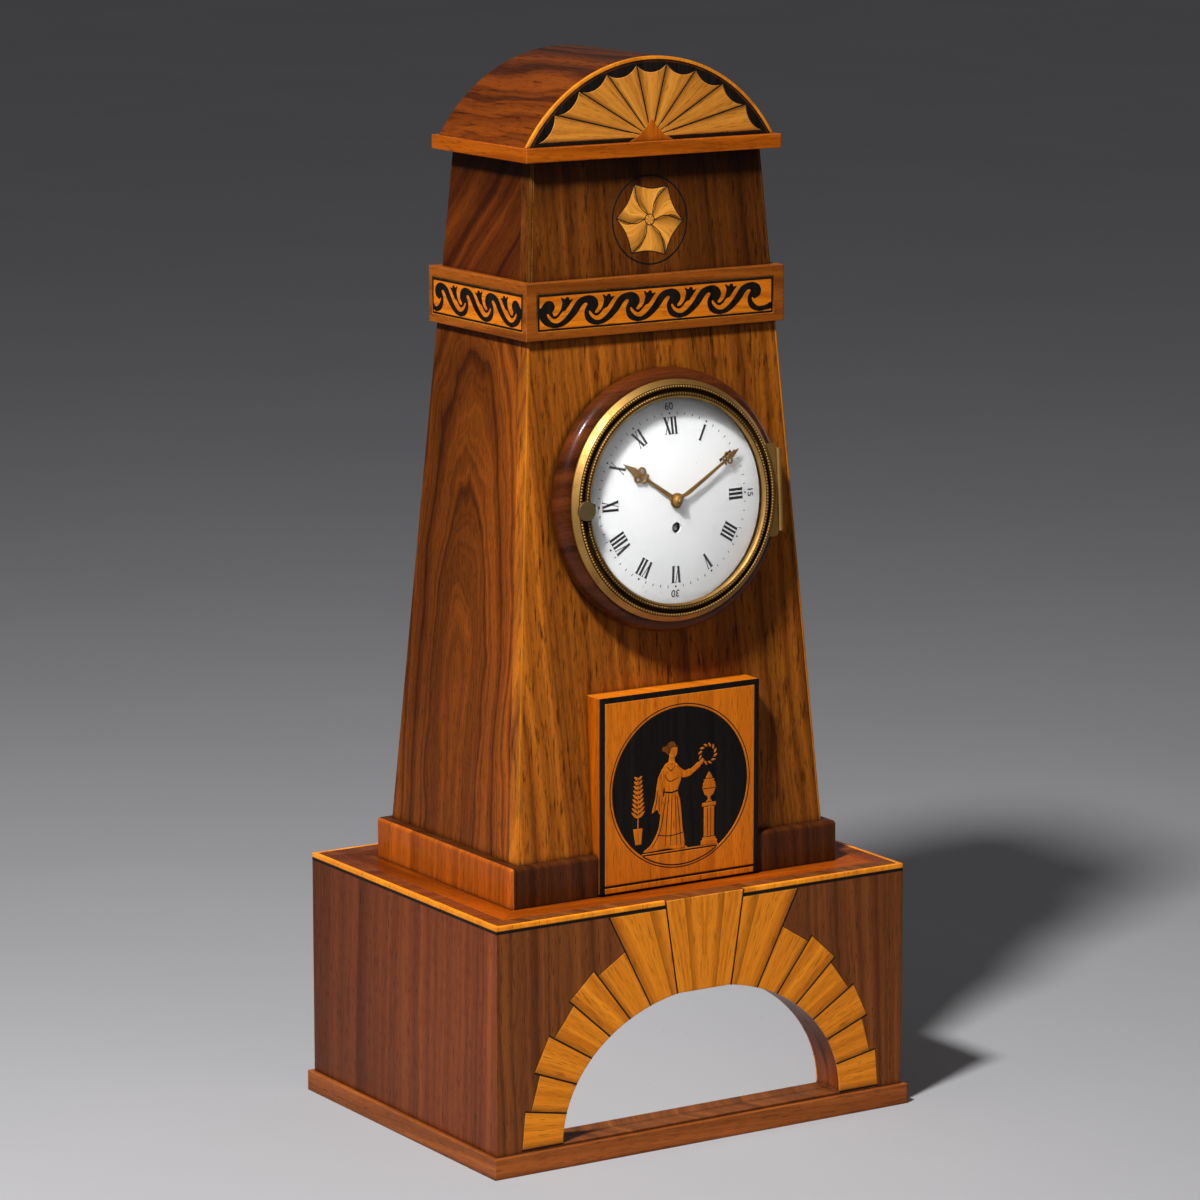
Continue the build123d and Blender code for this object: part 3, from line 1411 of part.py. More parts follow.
great_low = plate_back + BARREL_LENGTH + BARREL_LIFT
great_high = great_low + GREAT_THICK
drum_low = great_low - BARREL_LENGTH
cover_high = drum_low + COVER_THICK
centre_low = FRONT_PLATE - CENTRE_DROP
third_low = plate_back + THIRD_LEVEL
escape_low = plate_back + ESCAPE_LEVEL
square_end = dial_crown - SQUARE_BELOW

drum = turned(winding, (BARREL_RADIUS, drum_low, great_low))
drum_space = turned(winding, (BARREL_RADIUS - BARREL_WALL, drum_low, great_low))
great_teeth = toothed(winding, GREAT_TEETH, great_module, WHEEL_TOOTH, 90, great_low, great_high)
arbor_bore = turned(winding, (BARREL_ARBOR + RUNNING, drum_low, great_high))
write("mainspring_barrel", drum - drum_space + great_teeth - arbor_bore)
cover = turned(winding, (BARREL_RADIUS - BARREL_WALL - FIT, drum_low, cover_high))
write("barrel_cover", cover - arbor_bore)

spring_start = BARREL_ARBOR + SPRING_CLEAR
half_pitch = SPRING_PITCH / 2


def spring_arcs(edge):
    """Half circles of the spring's spiral from the arbor out, drawn at one edge of the strip."""
    arcs = []
    for turn in range(SPRING_HALF_TURNS):
        middle = half_pitch if turn % 2 else 0
        radius = spring_start + turn * half_pitch + edge
        side = -1 if turn % 2 else 1
        arcs.append(((middle + side * radius, 0), (middle, side * radius), (middle - side * radius, 0)))
    return arcs


inner_arcs, outer_arcs = spring_arcs(-SPRING_THICK / 2), spring_arcs(SPRING_THICK / 2)
with BuildPart() as mainspring:
    with BuildSketch(arbor_plane(winding, cover_high + SPRING_CLEAR)):
        with BuildLine():
            for start, through, end in inner_arcs + outer_arcs:
                ThreePointArc(start, through, end)
            Line(inner_arcs[0][0], outer_arcs[0][0])
            Line(inner_arcs[-1][2], outer_arcs[-1][2])
        make_face()
    extrude(amount=great_low - cover_high - 2 * SPRING_CLEAR)
write("mainspring", mainspring.part)

ratchet_low = plate_face + RATCHET_LIFT
ratchet_points = []
for tooth in range(RATCHET_TEETH):
    step = 360 / RATCHET_TEETH
    ratchet_points.append(polar(RATCHET_RADIUS, 180 + tooth * step))
    ratchet_points.append(polar(RATCHET_RADIUS - RATCHET_DEPTH, 180 + tooth * step + 1))
with BuildPart() as ratchet:
    with BuildSketch(arbor_plane(winding, ratchet_low)):
        with BuildLine():
            Polyline(*ratchet_points, close=True)
        make_face()
    extrude(amount=RATCHET_THICK)
with BuildPart() as winding_square:
    with BuildSketch(arbor_plane(winding, ratchet_low + RATCHET_THICK)):
        Rectangle(SQUARE_SIDE, SQUARE_SIDE)
    extrude(amount=square_end - ratchet_low - RATCHET_THICK)
winding_staff = turned(
    winding,
    (WINDING_PIVOT, plate_rear, shoulder_low),
    (BARREL_ARBOR, shoulder_low, shoulder_high),
    (WINDING_NECK, shoulder_high, ratchet_low),
)
write("winding_arbor", winding_staff + ratchet.part + winding_square.part)

nose = (winding[0] - RATCHET_RADIUS, winding[1])
with BuildPart() as click:
    with BuildSketch(dial_plane.offset(ratchet_low)):
        with Locations(click_at):
            Circle(CLICK_HUB)
        with BuildLine():
            Polyline(
                (click_at[0] - 1.6, click_at[1]),
                (nose[0] - 2.2, nose[1] - 0.3),
                (nose[0] + 0.4, nose[1] - 0.3),
                (nose[0] - 0.6, nose[1] - 2.4),
                (click_at[0] + 1.2, click_at[1] + 1.0),
                close=True,
            )
        make_face()
        with Locations(click_at):
            Circle(CLICK_POST + RUNNING, mode=Mode.SUBTRACT)
    extrude(amount=RATCHET_THICK)
write("click", click.part)

centre_staff = turned(
    centre,
    (CENTRE_PIVOT, plate_rear, shoulder_low),
    (CENTRE_ARBOR, shoulder_low, shoulder_high),
    (CENTRE_PIPE, shoulder_high, minute_top + CENTRE_END),
)
centre_pinion = toothed(
    centre,
    CENTRE_PINION,
    great_module,
    PINION_LEAF,
    meshing(CENTRE_PINION, 270),
    great_low - PINION_LAP,
    great_high + PINION_LAP,
)
centre_teeth = toothed(
    centre,
    CENTRE_TEETH,
    CENTRE_MODULE,
    WHEEL_TOOTH,
    THIRD_BEARING,
    centre_low,
    centre_low + WHEEL_THICK,
    arms=True,
)
write("centre_wheel", centre_staff + centre_pinion + centre_teeth)

third_staff = turned(
    third,
    (THIRD_PIVOT, plate_rear, shoulder_low),
    (THIRD_STAFF, shoulder_low, shoulder_high),
    (THIRD_PIVOT, shoulder_high, plate_face),
)
third_pinion = toothed(
    third,
    THIRD_PINION,
    CENTRE_MODULE,
    PINION_LEAF,
    meshing(THIRD_PINION, THIRD_BEARING + 180),
    centre_low - PINION_LAP,
    centre_low + WHEEL_THICK + PINION_LAP,
)
third_teeth = toothed(
    third,
    THIRD_TEETH,
    THIRD_MODULE,
    WHEEL_TOOTH,
    escape_bearing,
    third_low,
    third_low + THIN_WHEEL,
    arms=True,
)
write("third_wheel", third_staff + third_pinion + third_teeth)

tip_start, tip_end, heel = ESCAPE_TOOTH
escape_points = []
for tooth in range(ESCAPE_TEETH):
    angle = tooth * 360 / ESCAPE_TEETH
    escape_points.append(polar(ESCAPE_RADIUS - ESCAPE_DEPTH, angle))
    escape_points.append(polar(ESCAPE_RADIUS, angle + tip_start))
    escape_points.append(polar(ESCAPE_RADIUS, angle + tip_end))
    escape_points.append(polar(ESCAPE_RADIUS - ESCAPE_DEPTH, angle + heel))
with BuildPart() as escape_rim:
    with BuildSketch(arbor_plane(escape, escape_low)):
        with BuildLine():
            Polyline(*escape_points, close=True)
        make_face()
        Circle(ESCAPE_RADIUS - ESCAPE_RIM, mode=Mode.SUBTRACT)
        Circle(ESCAPE_HUB)
        for turn in (0, 90):
            Rectangle(2 * (ESCAPE_RADIUS - ESCAPE_RIM + ARM_LAP), ESCAPE_ARM, rotation=turn)
    extrude(amount=THIN_WHEEL)
escape_staff = turned(
    escape,
    (ESCAPE_PIVOT, plate_rear, shoulder_low),
    (ESCAPE_STAFF, shoulder_low, shoulder_high),
    (ESCAPE_PIVOT, shoulder_high, plate_face),
)
escape_pinion = toothed(
    escape,
    ESCAPE_PINION,
    THIRD_MODULE,
    PINION_LEAF,
    meshing(ESCAPE_PINION, escape_bearing + 180),
    third_low - PINION_LAP,
    third_low + THIN_WHEEL + PINION_LAP,
)
write("escape_wheel", escape_staff + escape_pinion + escape_rim.part)

cannon_low = plate_face + CANNON_LIFT
cannon_high = cannon_low + CANNON_LENGTH
minute_low = cannon_low + MINUTE_LIFT
minute_high = minute_low + WHEEL_THICK
cannon_leaves = toothed(
    centre,
    CANNON_TEETH,
    MOTION_MODULE,
    PINION_LEAF,
    meshing(CANNON_TEETH, 0),
    cannon_low,
    cannon_high,
    bore=CENTRE_PIPE + FIT,
)
cannon_bore = turned(centre, (CENTRE_PIPE + FIT, cannon_low, minute_top))
cannon_tube = turned(centre, (CANNON_PIPE, cannon_high, minute_top)) - cannon_bore
write("cannon_pinion", cannon_leaves + cannon_tube)

minute_bore = MOTION_POST + RUNNING
minute_teeth = toothed(
    motion,
    MINUTE_TEETH,
    MOTION_MODULE,
    WHEEL_TOOTH,
    180,
    minute_low,
    minute_high,
    bore=minute_bore,
    arms=True,
)
minute_pinion = toothed(
    motion,
    MINUTE_PINION,
    MOTION_MODULE,
    PINION_LEAF,
    meshing(MINUTE_PINION, 180),
    minute_high,
    minute_high + MINUTE_PINION_LENGTH,
    bore=minute_bore,
)
write("minute_wheel", minute_teeth + minute_pinion)

hour_low = cannon_low + HOUR_LIFT
hour_high = hour_low + WHEEL_THICK
hour_bore = CANNON_PIPE + RUNNING
hour_teeth = toothed(
    centre,
    HOUR_TEETH,
    MOTION_MODULE,
    WHEEL_TOOTH,
    0,
    hour_low,
    hour_high,
    bore=hour_bore,
    arms=True,
)
hour_space = turned(centre, (hour_bore, hour_high, hour_top))
hour_tube = turned(centre, (HOUR_PIPE, hour_high, hour_top)) - hour_space
write("hour_wheel", hour_teeth + hour_tube)

# Anchor, pendulum rod and bob

pallet_radius = ESCAPE_RADIUS + PALLET_LIFT
nib_x = pallet_radius * math.sin(math.radians(PALLET_ANGLE))
nib_y = escape[1] + pallet_radius * math.cos(math.radians(PALLET_ANGLE))
right_arm = [
    (0, anchor_at[1] + 2.6),
    (nib_x - 0.6, anchor_at[1] + 1.4),
    (nib_x + 2.6, anchor_at[1] - 2.0),
    (nib_x + 2.2, nib_y),
    (nib_x + 0.2, nib_y + 0.2),
    (nib_x + 0.4, nib_y + 2.2),
    (nib_x - 2.2, anchor_at[1] - 1.6),
    (0, anchor_at[1] - 2.2),
]
left_arm = [(-x, y) for x, y in reversed(right_arm[1:-1])]
with BuildPart() as anchor_arms:
    with BuildSketch(dial_plane.offset(escape_low - ANCHOR_OVERLAP)):
        with BuildLine():
            Polyline(*right_arm, *left_arm, close=True)
        make_face()
    extrude(amount=ANCHOR_THICK)
rod_w = plate_rear - PENDULUM_BACK
anchor_staff = turned(
    anchor_at,
    (CRUTCH_RADIUS, rod_w - CRUTCH_HALF, shoulder_low),
    (ANCHOR_STAFF, shoulder_low, shoulder_high),
    (ANCHOR_PIVOT, shoulder_high, plate_face),
)
write("anchor", anchor_staff + anchor_arms.part)

bob_y = anchor_at[1] - PENDULUM_LENGTH
rod_top = arbor_plane((0, 0), rod_w)
rod_line = Plane(origin=rod_top.origin, x_dir=dial_plane.x_dir, z_dir=dial_plane.y_dir)
rod_foot = bob_y - BOB_RADIUS - 4 * NUT_HEIGHT
with BuildPart() as pendulum_rod:
    with BuildSketch(rod_line.offset(rod_foot)):
        Circle(ROD_RADIUS)
    extrude(amount=anchor_at[1] - rod_foot)
    with BuildSketch(arbor_plane(anchor_at, rod_w - CRUTCH_HALF)):
        Circle(ROD_HUB)
    extrude(amount=2 * CRUTCH_HALF)
    with BuildSketch(arbor_plane(anchor_at, rod_w - CRUTCH_HALF)):
        Circle(CRUTCH_RADIUS + FIT)
    extrude(amount=2 * CRUTCH_HALF, mode=Mode.SUBTRACT)
write("pendulum_rod", pendulum_rod.part)

bob_bow = BOB_BOW * BOB_THICK
bob_middle = arbor_plane((0, bob_y), rod_w)
bob_section = Plane(origin=bob_middle.origin, x_dir=dial_plane.x_dir, z_dir=-dial_plane.y_dir)
with BuildPart() as bob_lens:
    with BuildSketch(bob_section):
        with BuildLine():
            ThreePointArc((0, BOB_THICK / 2), (BOB_RADIUS / 2, bob_bow), (BOB_RADIUS, BOB_EDGE))
            Line((BOB_RADIUS, BOB_EDGE), (BOB_RADIUS, -BOB_EDGE))
            ThreePointArc((BOB_RADIUS, -BOB_EDGE), (BOB_RADIUS / 2, -bob_bow), (0, -BOB_THICK / 2))
            Line((0, -BOB_THICK / 2), (0, BOB_THICK / 2))
        make_face()
    revolve(axis=Axis(bob_middle.origin, bob_middle.z_dir))
    with BuildSketch(rod_line.offset(bob_y - BOB_RADIUS)):
        Circle(ROD_RADIUS + RUNNING)
    extrude(amount=2 * BOB_RADIUS, mode=Mode.SUBTRACT)
with BuildPart() as rating_nut:
    with BuildSketch(rod_line.offset(bob_y - BOB_RADIUS - NUT_HEIGHT)):
        RegularPolygon(NUT_RADIUS, 6)
        Circle(ROD_RADIUS + RUNNING, mode=Mode.SUBTRACT)
    extrude(amount=NUT_HEIGHT)
write("pendulum_bob", bob_lens.part, rating_nut.part)
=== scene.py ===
# %% [markdown]
# # A tapered shelf clock, dressed on its CAD frame
#
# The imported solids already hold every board, wheel and hinge in its place, in metres. This lesson gives
# them veneer, brass, enamel and glass, and adds what is too thin for solids: inlaid lines, a running
# scroll, beading on the bezel, the dial's numerals and a figure on the plaque.

# %% Load the frame
import math

import bmesh
import bpy
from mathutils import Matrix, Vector


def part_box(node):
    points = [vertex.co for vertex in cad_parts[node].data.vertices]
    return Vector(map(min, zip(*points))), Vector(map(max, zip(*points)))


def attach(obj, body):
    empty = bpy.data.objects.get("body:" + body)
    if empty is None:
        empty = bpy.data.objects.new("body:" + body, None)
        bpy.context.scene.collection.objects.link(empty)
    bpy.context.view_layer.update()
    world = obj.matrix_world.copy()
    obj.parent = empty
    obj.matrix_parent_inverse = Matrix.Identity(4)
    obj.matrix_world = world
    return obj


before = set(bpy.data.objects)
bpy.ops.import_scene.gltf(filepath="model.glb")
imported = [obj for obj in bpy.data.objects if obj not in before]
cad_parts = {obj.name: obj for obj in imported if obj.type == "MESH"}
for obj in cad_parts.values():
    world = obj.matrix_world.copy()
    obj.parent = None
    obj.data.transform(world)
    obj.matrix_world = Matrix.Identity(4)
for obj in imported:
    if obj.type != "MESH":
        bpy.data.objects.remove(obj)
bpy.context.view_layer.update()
MM = 0.001


def span(node):
    """A node's lowest and highest corners in millimetres."""
    low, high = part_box(node)
    return low / MM, high / MM


# %% [markdown]
# ## Camera
#
# The camera stands to the left of the clock and a little above its dial, as far away as a long portrait
# lens needs. It could be placed by eye, but upright edges that lean together show every mistake, so its
# place was worked out from the straight edges of the case.

# %% Camera
CAMERA_AT = (-1.5451, -2.4206, 0.8502)
CAMERA_TURN = 32.476
CAMERA_TILT = 10.823
LENS = 149.9

lens = bpy.data.cameras.new("photo_camera")
lens.lens = LENS
lens.sensor_width = 36.0
camera = bpy.data.objects.new("photo_camera", lens)
camera.location = CAMERA_AT
camera.rotation_euler = (math.radians(90 - CAMERA_TILT), 0, -math.radians(CAMERA_TURN))
bpy.context.scene.collection.objects.link(camera)
bpy.context.scene.camera = camera
bpy.context.scene.view_settings.view_transform = "Standard"
print("camera at", CAMERA_AT)

# %% [markdown]
# ## Node helpers
#
# Every material below is a small graph of nodes. Such graphs are usually drawn by hand in the shader
# editor. In a script each node takes several lines, so these helpers add a node with its settings and
# links in one line, and open a shader group with named sockets.

# %% Node helpers


def add_node(tree, kind, inputs=None, **settings):
    """A node with its settings, whose inputs are set to values or linked to sockets."""
    made = tree.nodes.new(kind)
    for key, value in settings.items():
        setattr(made, key, value)
    for key, value in (inputs or {}).items():
        if isinstance(value, bpy.types.NodeSocket):
            tree.links.new(value, made.inputs[key])
        else:
            made.inputs[key].default_value = value
    return made


def maths(tree, operation, *terms):
    return add_node(tree, "ShaderNodeMath", dict(enumerate(terms)), operation=operation).outputs[0]


def noise(tree, vector, scale, detail=2.0, roughness=0.5):
    inputs = {"Vector": vector, "Scale": scale, "Detail": detail, "Roughness": roughness}
    return add_node(tree, "ShaderNodeTexNoise", inputs).outputs[0]


def stretched(tree, value, low, high, to_low=0.0, to_high=1.0):
    """The value moved from low..high to another range and kept inside it."""
    inputs = {0: value, 1: low, 2: high, 3: to_low, 4: to_high}
    return add_node(tree, "ShaderNodeMapRange", inputs).outputs[0]


def tinted(tree, factor, first, second):
    inputs = {0: factor, 6: first, 7: second}
    return add_node(tree, "ShaderNodeMix", inputs, data_type="RGBA").outputs[2]


def combined(tree, x, y, z):
    return add_node(tree, "ShaderNodeCombineXYZ", {0: x, 1: y, 2: z}).outputs[0]


def shader_group(name, inputs, outputs):
    """An empty group: its tree, its input sockets by name and its output node."""
    tree = bpy.data.node_groups.new(name, "ShaderNodeTree")
    for label, default in inputs.items():
        socket = tree.interface.new_socket(label, in_out="INPUT", socket_type="NodeSocketFloat")
        socket.default_value = default
    for label, kind in outputs.items():
        tree.interface.new_socket(label, in_out="OUTPUT", socket_type="NodeSocket" + kind)
    return tree, tree.nodes.new("NodeGroupInput").outputs, tree.nodes.new("NodeGroupOutput")


def use_group(tree, name, **inputs):
    return add_node(tree, "ShaderNodeGroup", inputs, node_tree=bpy.data.node_groups[name]).outputs


def new_material(name):
    """A material's tree, its Principled shader and its object coordinates."""
    made = bpy.data.materials.new(name)
    made.use_nodes = True
    tree = made.node_tree
    shader = tree.nodes["Principled BSDF"]
    coordinates = add_node(tree, "ShaderNodeTexCoord").outputs["Object"]
    return made, tree, shader, coordinates


print("node helpers ready")

# %% [markdown]
# ## Floor and light
#
# A pale grey floor runs far behind the clock and falls into the dark by itself, because the lamps hang
# close to the clock. A small key lamp high on the left throws a clear shadow to the right, and a broad
# soft one fills the front. An area lamp shines from one side only, so a third one behind the clock would
# draw an edge on the floor: a weak low sun lights the far sides instead, and a dim grey world opens the
# shade. The floor has no gloss, since a glossy floor would mirror the lamps.

# %% Floor and light
FLOOR_REACH = 30.0
FLOOR_DROP = 0.0001
FLOOR_DARK, FLOOR_LIGHT = (0.37, 0.365, 0.375, 1), (0.41, 0.405, 0.415, 1)
LIT = (0, 0, 0.3)
WORLD_GREY = (0.5, 0.5, 0.52, 1)
WORLD_STRENGTH = 0.22

floor_material, tree, shader, coordinates = new_material("pale_floor")
mottle = noise(tree, coordinates, 3.0, 4.0)
floor_colour = tinted(tree, mottle, FLOOR_DARK, FLOOR_LIGHT)
tree.links.new(floor_colour, shader.inputs["Base Color"])
shader.inputs["Roughness"].default_value = 0.9
shader.inputs["Specular IOR Level"].default_value = 0.0

floor_mesh = bpy.data.meshes.new("floor")
corners = ((-1, -1), (1, -1), (1, 1), (-1, 1))
spots = [(x * FLOOR_REACH, y * FLOOR_REACH, -FLOOR_DROP) for x, y in corners]
floor_mesh.from_pydata(spots, [], [(0, 1, 2, 3)])
floor_mesh.materials.append(floor_material)
floor = bpy.data.objects.new("floor", floor_mesh)
bpy.context.scene.collection.objects.link(floor)


def hang(light, at):
    """A lamp at a place, turned to the middle of the clock."""
    holder = bpy.data.objects.new(light.name, light)
    holder.location = at
    holder.rotation_euler = (Vector(LIT) - Vector(at)).to_track_quat("-Z", "Y").to_euler()
    bpy.context.scene.collection.objects.link(holder)


def disk_lamp(name, at, size, power):
    light = bpy.data.lights.new(name, "AREA")
    light.shape = "DISK"
    light.size = size
    light.energy = power
    hang(light, at)


disk_lamp("key_lamp", (-0.85, -0.55, 1.52), 0.2, 43)
disk_lamp("front_fill", (0.35, -1.7, 1.1), 1.0, 1.1)
low_sun = bpy.data.lights.new("low_sun", "SUN")
low_sun.energy = 0.15
low_sun.angle = math.radians(20)
hang(low_sun, (2.0, 0.9, 0.65))

world = bpy.data.worlds.new("grey_studio")
world.use_nodes = True
background = world.node_tree.nodes["Background"]
background.inputs["Color"].default_value = WORLD_GREY
background.inputs["Strength"].default_value = WORLD_STRENGTH
bpy.context.scene.world = world
print("floor, two lamps, a sun and a world")

# %% [markdown]
# ## Shared wood effects
#
# Veneer is sawn from the log, so its pattern is a cut through growth rings. A photograph of wood could be
# wrapped round each board, but it would stretch and repeat, and noise in the board's own space does not.
# Four groups serve every wood. Fibre gives the fine threads, pores and flecks, Straight Figure the broad
# ribbons of quartered veneer, Arch Figure the nested arches of a board cut through the heart, and the
# edge group the pale arrises, partly worn and partly a painted highlight, and the dirt and painted shade
# that gather in corners.

# %% Shared wood effects
GRAIN_SOCKETS = {"Across": 0.0, "Along": 0.0, "Deep": 0.0}


def drawn_out(tree, given, share):
    """The place in the board with its length squeezed, which draws a noise out along the grain."""
    along = maths(tree, "MULTIPLY", given["Along"], share)
    return combined(tree, given["Across"], along, given["Deep"])


tree, given, result = shader_group(
    "Fibre", GRAIN_SOCKETS, {"Thread": "Float", "Pore": "Float", "Fleck": "Float"}
)
thread = noise(tree, drawn_out(tree, given, 0.025), 900.0, 4.0, 0.65)
pore = noise(tree, drawn_out(tree, given, 0.07), 1700.0, 1.0)
fleck = noise(tree, drawn_out(tree, given, 0.12), 480.0, 3.0, 0.6)
tree.links.new(stretched(tree, thread, 0.3, 0.7), result.inputs["Thread"])
tree.links.new(stretched(tree, pore, 0.6, 0.72), result.inputs["Pore"])
tree.links.new(stretched(tree, fleck, 0.54, 0.70), result.inputs["Fleck"])

FIGURE_SOCKETS = {**GRAIN_SOCKETS, "Stripe": 0.01, "Wave": 0.01}


def ribbon_tone(tree, given, distance):
    """Tone of a figured board from the distance through its growth rings, bent by slow waves."""
    bend = maths(tree, "SUBTRACT", noise(tree, drawn_out(tree, given, 0.35), 22.0, 3.0), 0.5)
    bent = maths(tree, "ADD", distance, maths(tree, "MULTIPLY", bend, given["Wave"]))
    turns = maths(tree, "DIVIDE", bent, given["Stripe"])
    spread = {"W": turns, "Scale": 1.0, "Detail": 4.0, "Roughness": 0.6}
    rings = add_node(tree, "ShaderNodeTexNoise", spread, noise_dimensions="1D")
    return stretched(tree, rings.outputs[0], 0.33, 0.67)


tree, given, result = shader_group("Straight Figure", FIGURE_SOCKETS, {"Tone": "Float"})
slanted = maths(tree, "MULTIPLY_ADD", given["Along"], 0.04, given["Across"])
sunk = maths(tree, "MULTIPLY_ADD", given["Deep"], 0.4, slanted)
tree.links.new(ribbon_tone(tree, given, sunk), result.inputs["Tone"])

ARCH_FOOT, ARCH_HEAD = 0.25, 0.47
ARCH_RISE_SHARE = 0.23
ARCH_SHIFT = 0.008

tree, given, result = shader_group("Arch Figure", FIGURE_SOCKETS, {"Tone": "Float"})
off = maths(tree, "SUBTRACT", given["Across"], ARCH_SHIFT)
rise = (ARCH_HEAD - ARCH_FOOT) * ARCH_RISE_SHARE
climb = stretched(tree, given["Along"], ARCH_FOOT, ARCH_HEAD, 0.0, rise)
squares = maths(tree, "MULTIPLY_ADD", off, off, maths(tree, "MULTIPLY", climb, climb))
ring = maths(tree, "SQRT", squares)
tree.links.new(ribbon_tone(tree, given, ring), result.inputs["Tone"])

tree, given, result = shader_group(
    "Edge Wear And Painted Light", {"Radius": 0.0008}, {"Wear And Highlight": "Float", "Grime And Shade": "Float", "Normal": "Vector"}
)
rounded = add_node(tree, "ShaderNodeBevel", {"Radius": given["Radius"]}, samples=5)
facing = add_node(
    tree,
    "ShaderNodeVectorMath",
    {0: rounded.outputs[0], 1: add_node(tree, "ShaderNodeNewGeometry").outputs["Normal"]},
    operation="DOT_PRODUCT",
)
# Pale arrises: partly wear and partly a painted highlight.
edge = stretched(tree, facing.outputs["Value"], 0.97, 0.80)
patchy = noise(tree, add_node(tree, "ShaderNodeTexCoord").outputs["Object"], 110.0, 3.0, 0.7)
tree.links.new(
    maths(tree, "MULTIPLY", edge, stretched(tree, patchy, 0.35, 0.65)), result.inputs["Wear And Highlight"]
)
# Occlusion darkens corners: painted shade, with some dirt.
shelter = add_node(tree, "ShaderNodeAmbientOcclusion", {"Distance": 0.004}, samples=5)
tree.links.new(stretched(tree, shelter.outputs["AO"], 0.85, 0.35), result.inputs["Grime And Shade"])
tree.links.new(rounded.outputs[0], result.inputs["Normal"])
print("wood groups:", [group.name for group in bpy.data.node_groups])

# %% [markdown]
# ## Grain directions
#
# A wood needs to know which way it was laid. Boards follow the case's axes, strips run round the case
# with mitred corners, and the stones of the arch, the fan's leaves and the patera's petals turn round
# their own centres, with edges scorched in hot sand. Unwrapping each piece by hand would do it too, but a
# few sums on the place in the clock need no map and fit every piece at once.

# %% Grain directions
ROOF_LOW, ROOF_HIGH = span("roof_shell")
ROOF_RISE = ROOF_HIGH.z - ROOF_LOW.z
ROOF_ARC = (ROOF_HIGH.x**2 + ROOF_RISE**2) / (2 * ROOF_RISE)
CLIMB_UP, CLIMB_BACK = 0.8, 0.6
SILL = 13.6
STONE_ANGLE = 10.5
STONE_MEAN, STONE_SHIFT = 0.11, 0.37
FAN_LEAVES = 9
LEAF_MEAN, LEAF_SHIFT = 0.05, 0.41
FAN_FOCUS = 576.0
FAN_INSET = 3.8
FAN_RIM = ROOF_ARC - FAN_INSET
FAN_DROP = FAN_FOCUS - ROOF_HIGH.z + ROOF_ARC
PATERA_RISE = 529.0
PATERA_RADIUS = 22.6
PATERA_EYE = 2.9
PATERA_SWIRL = 14.0
PATERA_TURN = -5.0
PETALS = 6
PETAL_MEAN, PETAL_SHIFT = 0.012, 0.31


def separate(tree, coordinates):
    return add_node(tree, "ShaderNodeSeparateXYZ", {0: coordinates}).outputs


def board(axes):
    """Grain of a flat board: the axes across, along and through it."""

    def grain(tree, coordinates):
        parts = separate(tree, coordinates)
        across, along, deep = (parts[axis] for axis in axes)
        return across, along, deep, None

    return grain


def slanting(tree, coordinates):
    """Grain that climbs a side board from the back to its front corner."""
    x, y, z = separate(tree, coordinates)
    across = maths(tree, "MULTIPLY_ADD", y, CLIMB_UP, maths(tree, "MULTIPLY", z, CLIMB_BACK))
    along = maths(tree, "MULTIPLY_ADD", y, -CLIMB_BACK, maths(tree, "MULTIPLY", z, CLIMB_UP))
    return across, along, x, None


def from_centre(tree, x, up):
    """The distance of a point from a centre."""
    return maths(tree, "SQRT", maths(tree, "MULTIPLY_ADD", x, x, maths(tree, "MULTIPLY", up, up)))


def pieces_apart(tree, angle, turn, mean, shift):
    """A place across the grain that jumps from piece to piece, as if each came from another board."""
    board_shift = maths(tree, "MULTIPLY", maths(tree, "FLOOR", turn), shift)
    return maths(tree, "MULTIPLY_ADD", angle, mean, board_shift)


def strips(node):
    """Grain of a mitred frame of strips, laid along the strips."""
    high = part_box(node)[1]

    def grain(tree, coordinates):
        x, y, z = separate(tree, coordinates)
        past_side = maths(tree, "SUBTRACT", maths(tree, "ABSOLUTE", x), high.x)
        past_front = maths(tree, "SUBTRACT", maths(tree, "ABSOLUTE", y), high.y)
        on_front = maths(tree, "GREATER_THAN", past_front, past_side)
        length = add_node(tree, "ShaderNodeMix", {0: on_front, 2: y, 3: x}).outputs[0]
        through = add_node(tree, "ShaderNodeMix", {0: on_front, 2: x, 3: y}).outputs[0]
        return z, length, through, None

    return grain


def arch_stones(tree, coordinates):
    """Grain that runs along each stone of the arch, with one scorched edge to a stone."""
    x, y, z = separate(tree, coordinates)
    up = maths(tree, "SUBTRACT", z, SILL * MM)
    angle = maths(tree, "ARCTAN2", up, maths(tree, "ABSOLUTE", x))
    turn = maths(tree, "DIVIDE", angle, math.radians(STONE_ANGLE))
    scorch = stretched(tree, maths(tree, "FRACT", turn), 0.22, 0.0, 0.0, 0.55)
    across = pieces_apart(tree, angle, turn, STONE_MEAN, STONE_SHIFT)
    return across, from_centre(tree, x, up), y, scorch


